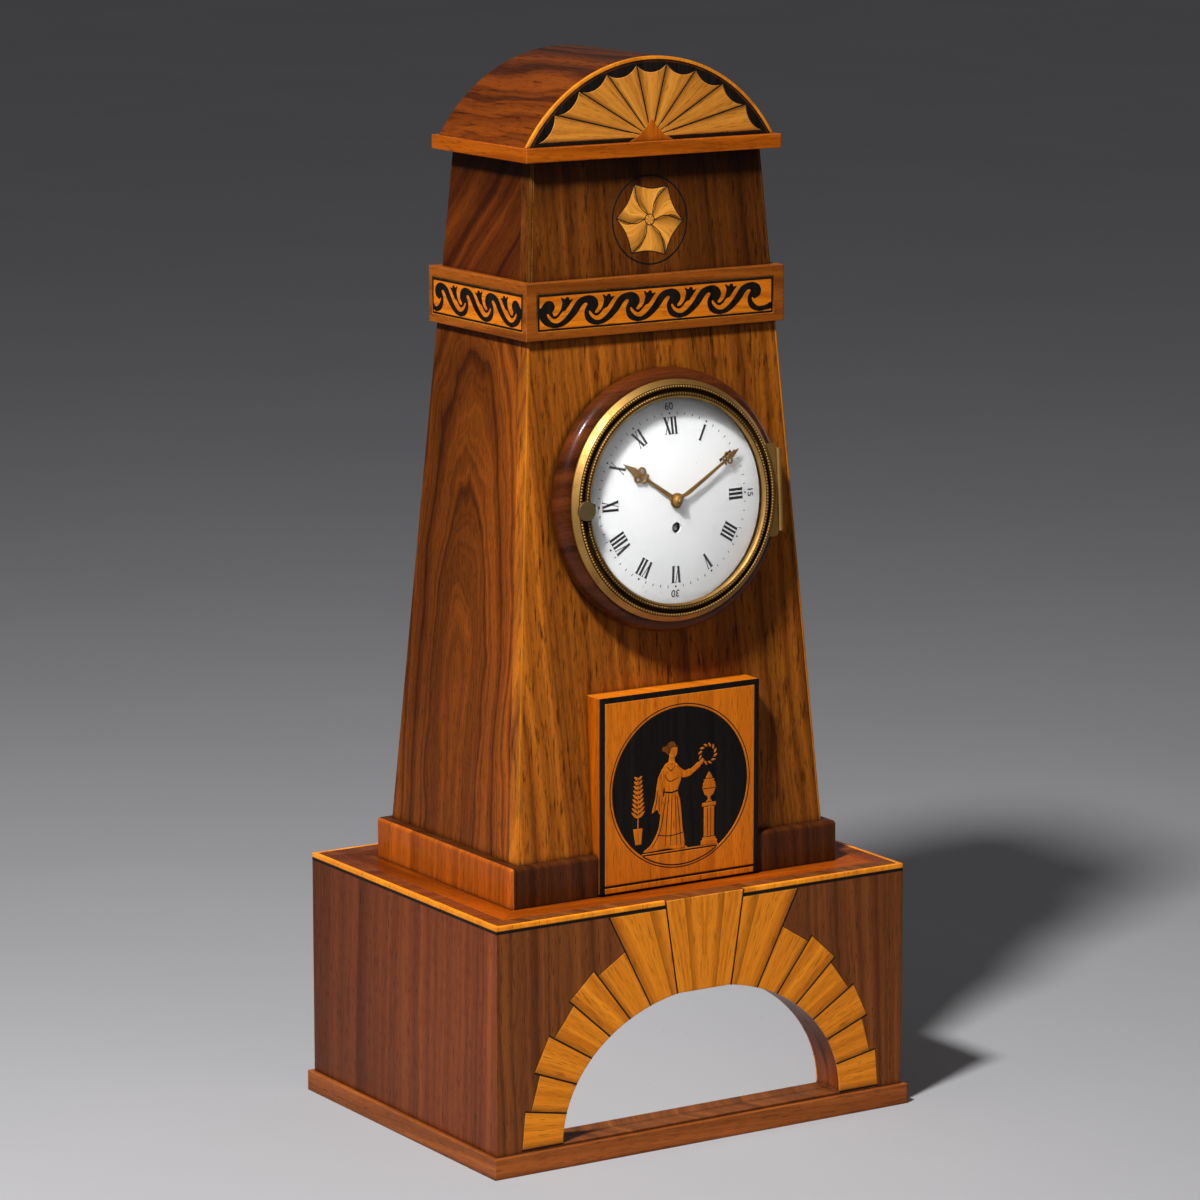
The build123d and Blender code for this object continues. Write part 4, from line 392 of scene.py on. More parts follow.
def fan_leaves(tree, coordinates):
    """Grain from the fan's foot outwards. A leaf's edges meet the roof's arc at even angles, so the
    share across a leaf is read where the ray through a point meets that arc."""
    drop, rim = FAN_DROP * MM, FAN_RIM * MM
    x, y, z = separate(tree, coordinates)
    up = maths(tree, "SUBTRACT", z, FAN_FOCUS * MM)
    radius = from_centre(tree, x, up)
    side = maths(tree, "DIVIDE", x, radius)
    rising = maths(tree, "DIVIDE", up, radius)
    beside = maths(tree, "MULTIPLY", side, drop)
    root = maths(tree, "SQRT", maths(tree, "SUBTRACT", rim * rim, maths(tree, "MULTIPLY", beside, beside)))
    reach = maths(tree, "SUBTRACT", root, maths(tree, "MULTIPLY", rising, drop))
    rim_up = maths(tree, "MULTIPLY_ADD", reach, rising, drop)
    at_rim = maths(tree, "ARCTAN2", maths(tree, "MULTIPLY", reach, side), rim_up)
    step = 2 * math.acos(drop / rim) / FAN_LEAVES
    turn = maths(tree, "ADD", maths(tree, "DIVIDE", at_rim, step), 0.5)
    share = maths(tree, "FRACT", turn)
    first_edge = stretched(tree, share, 0.20, 0.0, 0.0, 0.75)
    last_edge = stretched(tree, share, 0.84, 1.0, 0.0, 0.60)
    scorch = maths(tree, "MAXIMUM", first_edge, last_edge)
    return pieces_apart(tree, at_rim, turn, LEAF_MEAN, LEAF_SHIFT), radius, y, scorch


def patera_petals(tree, coordinates):
    """Grain from the patera's eye outwards, with the petals' swirl taken out of the angle."""
    x, y, z = separate(tree, coordinates)
    up = maths(tree, "SUBTRACT", z, PATERA_RISE * MM)
    radius = from_centre(tree, x, up)
    out = stretched(tree, radius, PATERA_EYE * MM, PATERA_RADIUS * MM)
    bulge = maths(tree, "SINE", maths(tree, "MULTIPLY", out, math.pi))
    start = maths(tree, "MULTIPLY_ADD", bulge, math.radians(PATERA_SWIRL), math.radians(PATERA_TURN))
    angle = maths(tree, "SUBTRACT", maths(tree, "ARCTAN2", up, x), start)
    turn = maths(tree, "ADD", maths(tree, "DIVIDE", angle, math.tau / PETALS), PETALS)
    scorch = stretched(tree, maths(tree, "FRACT", turn), 0.5, 1.0, 0.0, 0.8)
    return pieces_apart(tree, angle, turn, PETAL_MEAN, PETAL_SHIFT), radius, y, scorch


print("grain: boards, strips, arch stones, fan leaves, patera petals")

# %% [markdown]
# ## How a veneer is coloured
#
# The case is a plain carcass under thin sheets of show wood. Each sheet could have a graph of its own, but
# they differ only in tones, laying and figure, so one recipe serves them all: a figure between a dark and
# a light tone, threads, pores and flecks on top, slow changes over the whole board, and scorching where
# the grain asks for it.

# %% Veneer recipe
X, Y, Z = 0, 1, 2
THREAD_SHARE = 0.22
PORE_SHARE, PORE_DARK = 0.55, 0.3
SCORCHED = (0.03, 0.009, 0.002, 1)


def look(dark, light, grain, figure="Straight Figure", stripe=0.012, wave=0.012, shades=(), fleck=0.3):
    """How a veneer looks: its tones, the way it is laid, the figure in it, how it darkens along an axis
    and how strong its flecks are. A shade is an axis, two places on it and the colour's strength at both."""
    return {
        "dark": dark, "light": light, "grain": grain, "figure": figure, "stripe": stripe, "wave": wave,
        "shades": shades, "fleck": fleck,
    }


def veneer(tree, coordinates, laid_as):
    """The colour of a veneer, and its threads and pores."""
    across, along, deep, scorch = laid_as["grain"](tree, coordinates)
    laid = {"Across": across, "Along": along, "Deep": deep}
    figure = use_group(tree, laid_as["figure"], Stripe=laid_as["stripe"], Wave=laid_as["wave"], **laid)
    fibre = use_group(tree, "Fibre", **laid)
    slow = noise(tree, drawn_out(tree, laid, 0.5), 14.0, 3.0)
    tone = maths(tree, "MULTIPLY", figure["Tone"], 1 - THREAD_SHARE)
    mixed = maths(tree, "MULTIPLY_ADD", fibre["Thread"], THREAD_SHARE, tone)
    level = maths(tree, "MULTIPLY", mixed, stretched(tree, slow, 0.3, 0.7, 0.72, 1.12))
    colour = tinted(tree, level, (*laid_as["dark"], 1), (*laid_as["light"], 1))
    pore_colour = (*(PORE_DARK * part for part in laid_as["dark"]), 1)
    colour = tinted(tree, maths(tree, "MULTIPLY", fibre["Pore"], PORE_SHARE), colour, pore_colour)
    fleck = maths(tree, "MULTIPLY", fibre["Fleck"], laid_as["fleck"])
    colour = tinted(tree, fleck, colour, pore_colour)
    if scorch:
        colour = tinted(tree, scorch, colour, SCORCHED)
    for axis, start, end, strength, end_strength in laid_as["shades"]:
        share = stretched(tree, separate(tree, coordinates)[axis], start, end, strength, end_strength)
        scaled = add_node(tree, "ShaderNodeVectorMath", {0: colour, "Scale": share}, operation="SCALE")
        colour = scaled.outputs[0]
    return colour, fibre


print("veneer recipe ready")

# %% [markdown]
# ## Polished wood
#
# Over the veneer lies a thin coat of French polish that isn't quite even, with dirt and painted shade in
# the corners and pale arrises, partly worn and partly a painted highlight. The wear could be painted by
# hand, but the shared group finds every edge by itself.
# Some boards show another veneer on their sides or over the frieze, so a wood can take up to three looks.

# %% Polished wood
FRIEZE_MIDDLE = 0.482
# The corner colour stands for painted shade, with some dirt.
DIRT_AND_SHADE, DIRT_AND_SHADE_SHARE = (0.008, 0.004, 0.002, 1), 0.75


def wood(name, main, side=None, upper=None, polish=0.08, wear_and_highlight=0.5):
    """A polished wood. A side veneer covers the faces that look sideways, an upper one what stands over
    the frieze."""
    made, tree, shader, coordinates = new_material(name)
    colour, fibre = veneer(tree, coordinates, main)
    if upper:
        over = maths(tree, "GREATER_THAN", separate(tree, coordinates)[Z], FRIEZE_MIDDLE)
        colour = tinted(tree, over, colour, veneer(tree, coordinates, upper)[0])
    if side:
        normal = add_node(tree, "ShaderNodeTexCoord").outputs["Normal"]
        turned_side = maths(tree, "ABSOLUTE", separate(tree, normal)[X])
        sideways = maths(tree, "GREATER_THAN", turned_side, 0.5)
        colour = tinted(tree, sideways, colour, veneer(tree, coordinates, side)[0])
    edge = use_group(tree, "Edge Wear And Painted Light")
    # Corners darken: painted shade, with some dirt.
    colour = tinted(tree, maths(tree, "MULTIPLY", edge["Grime And Shade"], DIRT_AND_SHADE_SHARE), colour, DIRT_AND_SHADE)
    # The pale arrises are partly wear and partly a painted highlight.
    pale = (*(min(1.0, 0.05 + 1.8 * part) for part in main["light"]), 1)
    colour = tinted(tree, maths(tree, "MULTIPLY", edge["Wear And Highlight"], wear_and_highlight), colour, pale)
    tree.links.new(colour, shader.inputs["Base Color"])
    rough = stretched(tree, maths(tree, "ADD", fibre["Pore"], edge["Wear And Highlight"]), 0.0, 1.0, 0.36, 0.6)
    tree.links.new(rough, shader.inputs["Roughness"])
    grainy = add_node(
        tree,
        "ShaderNodeBump",
        {"Height": fibre["Thread"], "Strength": 0.12, "Distance": 0.0002, "Normal": edge["Normal"]},
    )
    tree.links.new(grainy.outputs[0], shader.inputs["Normal"])
    shader.inputs["Specular IOR Level"].default_value = 0.08
    shader.inputs["Coat Weight"].default_value = polish
    shader.inputs["Coat Roughness"].default_value = 0.09
    return made


def dress(material, *names):
    """The material on every slot of these nodes."""
    for name in names:
        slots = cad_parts[name].data.materials
        slots.clear()
        slots.append(material)


print("polished wood ready")

# %% [markdown]
# ## Looks of the veneers
#
# Every sheet on the clock was cut and laid in its own way: ribbons on the front, nested arches on the
# tower's sides, golden wood in the arch, the fan and the patera. They could share a few woods, but then
# all boards would look sawn from one plank, so each gets two tones, a direction and a figure.

# %% Looks of the veneers
ON_FRONT, ON_SIDE, ON_TOP = board((X, Z, Y)), board((Y, Z, X)), board((X, Y, Z))

base_side = look(
    (0.085, 0.016, 0.003), (0.285, 0.064, 0.014), ON_SIDE, stripe=0.016, shades=[(Y, -0.06, 0.10, 1.1, 0.7)]
)
base_front = look((0.085, 0.022, 0.005), (0.280, 0.078, 0.015), ON_FRONT, stripe=0.010)
base_rear = look((0.070, 0.016, 0.004), (0.220, 0.056, 0.016), ON_FRONT, stripe=0.018)
tower_side = look(
    (0.030, 0.006, 0.001), (0.280, 0.064, 0.005), ON_SIDE, "Arch Figure", 0.008, 0.030,
    [(Y, -0.05, 0.05, 1.3, 0.75), (Z, 0.20, 0.47, 1.15, 0.75)],
)
tower_side_top = look(
    (0.022, 0.004, 0.001), (0.130, 0.026, 0.002), slanting, stripe=0.012, wave=0.02,
    # The band just under the cornice is darkened: a painted shadow of the cornice.
    shades=[(Z, 0.530, 0.562, 1.0, 0.4)],
)
tower_front = look(
    (0.080, 0.018, 0.002), (0.400, 0.112, 0.008), ON_FRONT, stripe=0.010,
    shades=[(X, -0.095, -0.074, 1.6, 1.15), (X, -0.074, 0.090, 1.0, 0.72)], fleck=0.8,
)
tower_front_top = look(
    (0.030, 0.007, 0.001), (0.165, 0.044, 0.004), ON_FRONT, stripe=0.012,
    # The Z band just under the cornice is darkened: a painted shadow of the cornice.
    shades=[(X, -0.08, 0.08, 1.15, 0.75), (Z, 0.530, 0.562, 1.0, 0.4)], fleck=0.7,
)
plinth_front = look((0.030, 0.007, 0.002), (0.110, 0.028, 0.006), ON_FRONT, stripe=0.008)
plinth_side = look((0.200, 0.040, 0.003), (0.600, 0.125, 0.009), ON_SIDE, stripe=0.012)
roof_skin = look(
    (0.034, 0.006, 0.001), (0.220, 0.044, 0.002), ON_TOP, stripe=0.014, wave=0.05, fleck=0.7,
    shades=[(X, -0.080, -0.010, 1.0, 0.42)],
)
ring = look((0.018, 0.004, 0.001), (0.115, 0.024, 0.004), board((Z, X, Y)), stripe=0.014)
foot = look((0.160, 0.038, 0.006), (0.480, 0.125, 0.021), strips("base_skirting"))
lid = look(
    (0.160, 0.026, 0.001), (0.460, 0.085, 0.003), strips("base_top"),
    shades=[(Y, -0.06, 0.09, 1.0, 0.45)],
)
collar = look((0.120, 0.028, 0.003), (0.310, 0.076, 0.006), strips("frieze_band"))
cornice = look((0.190, 0.036, 0.001), (0.420, 0.092, 0.003), strips("cornice_board"), stripe=0.008)
plaque = look((0.480, 0.105, 0.003), (0.800, 0.210, 0.007), ON_FRONT, stripe=0.009)
plaque_edge = look((0.300, 0.055, 0.001), (0.500, 0.110, 0.003), ON_SIDE, stripe=0.009)
panel = look((0.430, 0.100, 0.003), (0.700, 0.190, 0.007), strips("frieze_panels"), stripe=0.007)
stone = look((0.620, 0.160, 0.005), (0.950, 0.310, 0.014), arch_stones, stripe=0.006, wave=0.006)
fan = look((0.370, 0.120, 0.012), (0.590, 0.230, 0.028), fan_leaves, stripe=0.005, wave=0.005)
petal = look((0.500, 0.180, 0.018), (0.800, 0.340, 0.045), patera_petals, stripe=0.004, wave=0.004)
line = look(
    (0.450, 0.120, 0.004), (0.800, 0.270, 0.012), ON_FRONT, stripe=0.020,
    shades=[(Z, 0.150, 0.170, 1.5, 0.75), (Z, 0.470, 0.482, 1.0, 0.15), (Z, 0.566, 0.576, 1.0, 8.0)],
)
black = look((0.003, 0.0025, 0.002), (0.012, 0.009, 0.007), ON_FRONT, stripe=0.006)
pine = look((0.240, 0.130, 0.050), (0.440, 0.270, 0.120), ON_FRONT, stripe=0.014)
print("veneer looks ready")

# %% [markdown]
# ## Woods on the case
#
# Now each board gets its wood. A board could be unwrapped and painted alone, but since a wood reads its
# place in the clock, the same material fits the boards that share it.

# %% Woods on the case
dress(wood("mahogany_base_side", base_side), "base_side_left", "base_side_right")
dress(wood("mahogany_base_front", base_front, base_side), "base_front")
dress(wood("mahogany_base_back", base_rear, base_side), "base_back")
dress(wood("mahogany_tower_side", tower_side, upper=tower_side_top), "tower_side_left", "tower_side_right")
dress(wood("mahogany_tower_front", tower_front, upper=tower_front_top), "tower_front")
dress(wood("mahogany_plinth", plinth_front, plinth_side), "tower_skirting")
dress(wood("mahogany_roof", roof_skin, polish=0.03), "roof_shell")
dress(wood("mahogany_ring", ring, polish=0.2), "dial_surround")
dress(wood("mahogany_foot", foot), "base_skirting")
dress(wood("mahogany_lid", lid), "base_top")
dress(wood("mahogany_collar", collar), "frieze_band")
dress(wood("honey_cornice", cornice), "cornice_board")
honey_plaque = wood("honey_plaque", plaque, plaque_edge)
dress(honey_plaque, "plaque_block")
dress(wood("honey_panel", panel), "frieze_panels")
dress(wood("golden_stones", stone), "arch_voussoirs")
dress(wood("golden_fan", fan), "fan_leaves")
dress(wood("golden_petals", petal), "patera_petals")
boxwood = wood("boxwood", line, wear_and_highlight=0.1)
dress(boxwood, "edge_stringing")
ebony = wood("ebony", black, wear_and_highlight=0.2)
dress(ebony, "plaque_ebony", "roof_front_lunette")
dress(
    wood("carcass_pine", pine, polish=0.0),
    "base_bottom", "tower_back", "back_door", "roof_back_lunette", "glue_blocks",
)
print("woods:", [item.name for item in bpy.data.materials if item.name != "pale_floor"])

# %% [markdown]
# ## Brass and steel
#
# The bezel, its hinge and the hands are gilt brass, and the movement is brass and steel. One even colour
# would look like paint, because old metal is never evenly bright. So the metals share a group that breaks
# the polish into bright and dull patches, lets tarnish sit in the corners and adds fine scratches.

# %% Brass and steel
TARNISH_SCALE = 60.0
GILT = ((0.46, 0.26, 0.072), (0.15, 0.075, 0.02), 0.46)

tree, given, result = shader_group("Tarnish", {"Scale": TARNISH_SCALE}, {"Dull": "Float", "Scratch": "Float"})
coordinates = add_node(tree, "ShaderNodeTexCoord").outputs["Object"]
patches = stretched(tree, noise(tree, coordinates, given["Scale"], 5.0, 0.65), 0.42, 0.68)
shelter = add_node(tree, "ShaderNodeAmbientOcclusion", {"Distance": 0.003}, samples=5)
corner = stretched(tree, shelter.outputs["AO"], 0.9, 0.3)
tree.links.new(maths(tree, "MAXIMUM", maths(tree, "MULTIPLY", patches, 0.5), corner), result.inputs["Dull"])
scored = noise(tree, coordinates, 900.0, 2.0)
tree.links.new(stretched(tree, scored, 0.35, 0.65), result.inputs["Scratch"])


def metal(name, bright, dull, roughness):
    made, tree, shader, _ = new_material(name)
    aged = use_group(tree, "Tarnish", Scale=TARNISH_SCALE)
    tree.links.new(tinted(tree, aged["Dull"], (*bright, 1), (*dull, 1)), shader.inputs["Base Color"])
    scratched = maths(tree, "MULTIPLY_ADD", aged["Scratch"], 0.08, roughness)
    rough = maths(tree, "MULTIPLY_ADD", aged["Dull"], 0.3, scratched)
    tree.links.new(rough, shader.inputs["Roughness"])
    rounded = add_node(tree, "ShaderNodeBevel", {"Radius": 0.0003}, samples=4)
    scored = add_node(
        tree,
        "ShaderNodeBump",
        {"Height": aged["Scratch"], "Strength": 0.08, "Distance": 0.0001, "Normal": rounded.outputs[0]},
    )
    tree.links.new(scored.outputs[0], shader.inputs["Normal"])
    shader.inputs["Metallic"].default_value = 1.0
    return made


gilt = metal("gilt_brass", *GILT)
dress(gilt, "bezel_hinge_leaf", "bezel_hinge_plate", "hour_hand", "minute_hand", "hand_collet")

dull_brass = metal("dull_brass", (0.36, 0.25, 0.11), (0.14, 0.09, 0.04), 0.36)
dress(dull_brass, "bezel_catch")
brass = metal("movement_brass", (0.76, 0.52, 0.20), (0.34, 0.20, 0.07), 0.24)
dress(
    brass,
    "front_plate", "back_plate", "movement_pillars", "dial_plate", "mainspring_barrel", "barrel_cover",
    "cannon_pinion", "minute_wheel", "hour_wheel", "pendulum_bob", "brass_screws", "back_door_hinge_fixed",
    "back_door_hinge_leaves", "back_door_button", "centre_wheel", "third_wheel", "escape_wheel",
)
steel = metal("bright_steel", (0.60, 0.60, 0.61), (0.22, 0.21, 0.21), 0.20)
dress(steel, "bezel_hinge_pin", "mainspring", "winding_arbor", "click", "anchor", "pendulum_rod")
print("metals: gilt, dull and movement brass, steel")

# %% [markdown]
# ## Bezel
#
# Dirt has darkened the band of the bezel on which its beads stand. The band could be a ring of its own, but
# it has no thickness, so a mask picks it out by the distance from the dial's centre, measured on the
# tower's leaning front.

# %% Bezel
BEZEL_DARK = (60.1, 66.5)
GROOVE_BROWN, GROOVE_SHARE = (0.03, 0.014, 0.004, 1), 0.85
DIAL_FACE_Y, DIAL_HEIGHT = -56.841, 369.7
BATTER = 0.07
LEAN = math.atan(BATTER)
ring_gilt = metal("gilt_brass_ring", *GILT)
tree = ring_gilt.node_tree
shader = tree.nodes["Principled BSDF"]
x, y, z = separate(tree, add_node(tree, "ShaderNodeTexCoord").outputs["Object"])
back = maths(tree, "MULTIPLY", maths(tree, "SUBTRACT", y, DIAL_FACE_Y * MM), math.sin(LEAN))
up = maths(tree, "MULTIPLY_ADD", maths(tree, "SUBTRACT", z, DIAL_HEIGHT * MM), math.cos(LEAN), back)
radius = from_centre(tree, x, up)
inside = maths(tree, "GREATER_THAN", radius, BEZEL_DARK[0] * MM)
outside = maths(tree, "LESS_THAN", radius, BEZEL_DARK[1] * MM)
grooved = maths(tree, "MULTIPLY", maths(tree, "MULTIPLY", inside, outside), GROOVE_SHARE)
bright = shader.inputs["Base Color"].links[0].from_socket
tree.links.new(tinted(tree, grooved, bright, GROOVE_BROWN), shader.inputs["Base Color"])
dress(ring_gilt, "bezel_ring")
print("bezel: dark band from", BEZEL_DARK[0], "to", BEZEL_DARK[1], "mm")

# %% [markdown]
# ## Enamel
#
# The dial is white enamel, a skin of fired glass on metal. A plain white would look like paper, so slow
# clouds change its white and its gloss a little, a few specks lie in it, and a clear coat shines on top.

# %% Enamel
ENAMEL_SPECK = (0.3, 0.28, 0.25, 1)

enamel, tree, shader, coordinates = new_material("white_enamel")
cloud = noise(tree, coordinates, 40.0, 3.0)
speck = stretched(tree, noise(tree, coordinates, 420.0, 1.0), 0.74, 0.80)
milk = tinted(tree, cloud, (0.78, 0.79, 0.79, 1), (0.84, 0.845, 0.84, 1))
white = tinted(tree, maths(tree, "MULTIPLY", speck, 0.35), milk, ENAMEL_SPECK)
tree.links.new(white, shader.inputs["Base Color"])
tree.links.new(stretched(tree, cloud, 0.3, 0.7, 0.16, 0.26), shader.inputs["Roughness"])
shader.inputs["Coat Weight"].default_value = 0.4
shader.inputs["Coat Roughness"].default_value = 0.05
dress(enamel, "dial_face")
print("enamel on the dial")

# %% [markdown]
# ## Mirror
#
# A mirror closes the arched niche. It could be glass over a silver sheet, but a metal that throws back
# nearly all light looks much the same and is simpler. A noise mask dulls it where the silvering has spots.

# %% Mirror
SILVERING, SPOTTED = (0.98, 0.98, 0.98, 1), (0.55, 0.54, 0.52, 1)

silver, tree, shader, coordinates = new_material("mirror_plate")
spots = stretched(tree, noise(tree, coordinates, 160.0, 4.0, 0.7), 0.66, 0.74)
silvered = tinted(tree, maths(tree, "MULTIPLY", spots, 0.4), SILVERING, SPOTTED)
tree.links.new(silvered, shader.inputs["Base Color"])
tree.links.new(stretched(tree, spots, 0.0, 1.0, 0.02, 0.25), shader.inputs["Roughness"])
shader.inputs["Metallic"].default_value = 1.0
dress(silver, "mirror_plate")
print("mirror in the niche")

# %% [markdown]
# ## Glass
#
# A domed glass covers the dial. Real glass lets the lamps through, but a path tracer seldom finds a lamp
# through two curved faces and leaves the dial dark. So shadow rays pass as if the glass weren't there,
# and all other rays meet true glass with a faint smear.

# %% Glass
glass, tree, shader, coordinates = new_material("clear_glass")
smear = noise(tree, coordinates, 70.0, 3.0)
tree.links.new(stretched(tree, smear, 0.3, 0.8, 0.0, 0.05), shader.inputs["Roughness"])
shader.inputs["Transmission Weight"].default_value = 1.0
shader.inputs["IOR"].default_value = 1.48
output = tree.nodes["Material Output"]
through = add_node(tree, "ShaderNodeBsdfTransparent")
rays = add_node(tree, "ShaderNodeLightPath")
choices = {0: rays.outputs["Is Shadow Ray"], 1: shader.outputs[0], 2: through.outputs[0]}
mixed = add_node(tree, "ShaderNodeMixShader", choices)
tree.links.new(mixed.outputs[0], output.inputs["Surface"])
dress(glass, "bezel_glass")
print("glass in the bezel")

# %% [markdown]
# ## Thin inlay
#
# Inlay is thin wood let into the veneer. It could be a mask in the material, but a mask blurs when the
# camera comes near and isn't in the exported meshes. So lines, scrolls and numerals are drawn flat in
# millimetres and then set on the surface that carries them, a hair's breadth proud. A closed outline
# becomes a small plate, and a path becomes a strip.

# %% Thin inlay helpers
PROUD = 0.06
SUNK = 0.25


def add_plate(mesh, outline, place, proud=PROUD):
    """A plate with this outline, from just under the surface to just above it."""
    top = [mesh.verts.new(place(x, y, proud)) for x, y in outline]
    foot = [mesh.verts.new(place(x, y, -SUNK)) for x, y in outline]
    mesh.faces.new(top)
    for near in range(len(outline)):
        far = (near + 1) % len(outline)
        mesh.faces.new((top[near], foot[near], foot[far], top[far]))


def add_strip(mesh, path, width, place, closed=False, proud=PROUD):
    """A strip along a path, of one width or of a width for each point."""
    widths = [width] * len(path) if isinstance(width, (int, float)) else width
    rails = []
    for index, (x, y) in enumerate(path):
        before = path[index - 1] if closed or index else path[0]
        after = path[(index + 1) % len(path)] if closed or index + 1 < len(path) else path[-1]
        run = Vector((after[0] - before[0], after[1] - before[1])).normalized()
        half = widths[index] / 2
        left, right = (x - run.y * half, y + run.x * half), (x + run.y * half, y - run.x * half)
        rails.append(
            [
                mesh.verts.new(place(*left, proud)),
                mesh.verts.new(place(*right, proud)),
                mesh.verts.new(place(*right, -SUNK)),
                mesh.verts.new(place(*left, -SUNK)),
            ]
        )
    steps = range(len(rails)) if closed else range(len(rails) - 1)
    for index in steps:
        near, far = rails[index], rails[(index + 1) % len(rails)]
        for corner in range(4):
            other = (corner + 1) % 4
            mesh.faces.new((near[corner], near[other], far[other], far[corner]))
    if not closed:
        mesh.faces.new(rails[0])
        mesh.faces.new(rails[-1])


def new_piece(name, mesh, material, body="case"):
    """The finished mesh as a piece that rides on a body."""
    mesh.normal_update()
    flat = [face for face in mesh.faces if len(face.verts) > 4]
    bmesh.ops.triangulate(mesh, faces=flat)
    bmesh.ops.recalc_face_normals(mesh, faces=mesh.faces)
    data = bpy.data.meshes.new(name)
    mesh.to_mesh(data)
    mesh.free()
    data.materials.append(material)
    piece = bpy.data.objects.new(name, data)
    bpy.context.scene.collection.objects.link(piece)
    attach(piece, body)


def smooth(points, closed=False, steps=6):
    """A Catmull-Rom curve through the points."""
    count = len(points)
    made = []
    for index in range(count if closed else count - 1):
        if closed:
            a, b, c, d = (Vector(points[(index + shift) % count]) for shift in (-1, 0, 1, 2))
        else:
            a, b, c, d = (Vector(points[min(max(index + shift, 0), count - 1)]) for shift in (-1, 0, 1, 2))
        for step in range(steps):
            t = step / steps
            spot = b + 0.5 * t * (c - a + t * (2 * a - 5 * b + 4 * c - d + t * (3 * (b - c) + d - a)))
            made.append(tuple(spot))
    return made if closed else [*made, tuple(points[-1])]


def arc(radius, start, end, steps, centre=(0.0, 0.0)):
    """Points of an arc from one angle to another, in degrees."""
    angles = (math.radians(start + (end - start) * step / steps) for step in range(steps + 1))
    return [(centre[0] + radius * math.cos(angle), centre[1] + radius * math.sin(angle)) for angle in angles]


def circle(radius, steps):
    return arc(radius, 0, 360 - 360 / steps, steps - 1)


def upright(front):
    """Places x and z on an upright face that looks towards -Y."""
    return lambda x, z, out: (x * MM, (front - out) * MM, z * MM)


def left_face(side):
    """Places a length and z on a face that looks towards -X, with the front corner on the right."""
    return lambda x, z, out: ((side - out) * MM, -x * MM, z * MM)


def right_face(side):
    return lambda x, z, out: ((side + out) * MM, x * MM, z * MM)


def back_face(rear):
    return lambda x, z, out: (-x * MM, (rear + out) * MM, z * MM)


print("inlay helpers ready")

# %% [markdown]
# ## Lines on the base
#
# A black line runs under the boxwood edge on all four sides, broken only by the keystone. Black joints
# part the stones of the arch. The joints could be gaps between the stones, but a gap would show the wood
# behind it and not black, so each one is a strip from the niche's edge outwards.

# %% Lines on the base
BASE_LOW, BASE_HIGH = span("base_front")
BASE_DEEP = span("base_back")[1].y
EDGE_LINE = 2.6
BLACK_LINE = 1.7
STONES = 6
STONE_REACH = 123.5
ARCH_HALF = 96.0
ARCH_RISE = 78.0
KEYSTONE_TOP = 27.0
KEYSTONE_FOOT = 18.5
KEYSTONE_DROP = 1.6
FLANK_DROP = 4.6
JOINT = 0.9

front = upright(BASE_LOW.y)
line_height = BASE_HIGH.z - EDGE_LINE - BLACK_LINE / 2
mesh = bmesh.new()
for side in (-1, 1):
    ends = [(side * BASE_HIGH.x, line_height), (side * KEYSTONE_TOP, line_height)]
    add_strip(mesh, ends, BLACK_LINE, front)
other_faces = (
    (left_face(BASE_LOW.x), BASE_DEEP),
    (right_face(BASE_HIGH.x), BASE_DEEP),
    (back_face(BASE_DEEP), BASE_HIGH.x),
)
for face, half in other_faces:
    add_strip(mesh, [(-half, line_height), (half, line_height)], BLACK_LINE, face)
new_piece("base_black_line", mesh, ebony)


def on_arch(angle):
    """The niche's edge along a ray from the middle of the sill."""
    across, up = math.cos(math.radians(angle)), math.sin(math.radians(angle))
    reach = 1 / math.hypot(across / ARCH_HALF, up / ARCH_RISE)
    return reach * across, SILL + reach * up


mesh = bmesh.new()
flank_top = BASE_HIGH.z - FLANK_DROP
for side in (-1, 1):
    for order in range(STONES + 1):
        angle = math.radians(order * STONE_ANGLE)
        reach = (flank_top - SILL) / math.sin(angle) if order == STONES else STONE_REACH
        near = on_arch(order * STONE_ANGLE)
        far = (reach * math.cos(angle), SILL + reach * math.sin(angle))
        add_strip(mesh, [(side * near[0], near[1]), (side * far[0], far[1])], JOINT, front)
    crown = SILL + ARCH_RISE - KEYSTONE_DROP
    add_strip(mesh, [(side * KEYSTONE_FOOT, crown), (side * KEYSTONE_TOP, BASE_HIGH.z)], JOINT, front)
new_piece("arch_joints", mesh, ebony)
print("base lines and arch joints")

# %% [markdown]
# ## Frieze
#
# Three panels carry a running wave, an old border pattern. On the real clock it is a sheet of ebony sawn
# out with a fret saw and let into the orange wood. It could be painted on with a mask texture, but a mask
# blurs when the camera comes near, so one repeat is drawn as an outline and set side by side. A repeat
# runs from trough to trough: up a slope, over a round head and down again, with a bud on a thin stem.

# %% Frieze
PANEL_LOW, PANEL_HIGH = span("frieze_panels")
BAND_LOW, BAND_HIGH = span("frieze_band")
PANEL_FRONT_HALF = 80.5
PANEL_SIDE_HALF = 50.0
FRAME_YELLOW = 0.6
FRAME_BLACK = 1.2
WAVE_PITCH = 27.8
WAVE_START = 10.4
UNDERSIDE = (
    (0.0, 0.02), (0.099, 0.03), (0.188, 0.06), (0.276, 0.122), (0.365, 0.212), (0.442, 0.306), (0.508, 0.399),
    (0.569, 0.511), (0.624, 0.623), (0.669, 0.689), (0.707, 0.723), (0.746, 0.723), (0.769, 0.689),
    (0.751, 0.626), (0.724, 0.567), (0.705, 0.503), (0.696, 0.43), (0.699, 0.348), (0.716, 0.257),
    (0.749, 0.172), (0.798, 0.105), (0.862, 0.055), (0.928, 0.03), (1.0, 0.02),
)
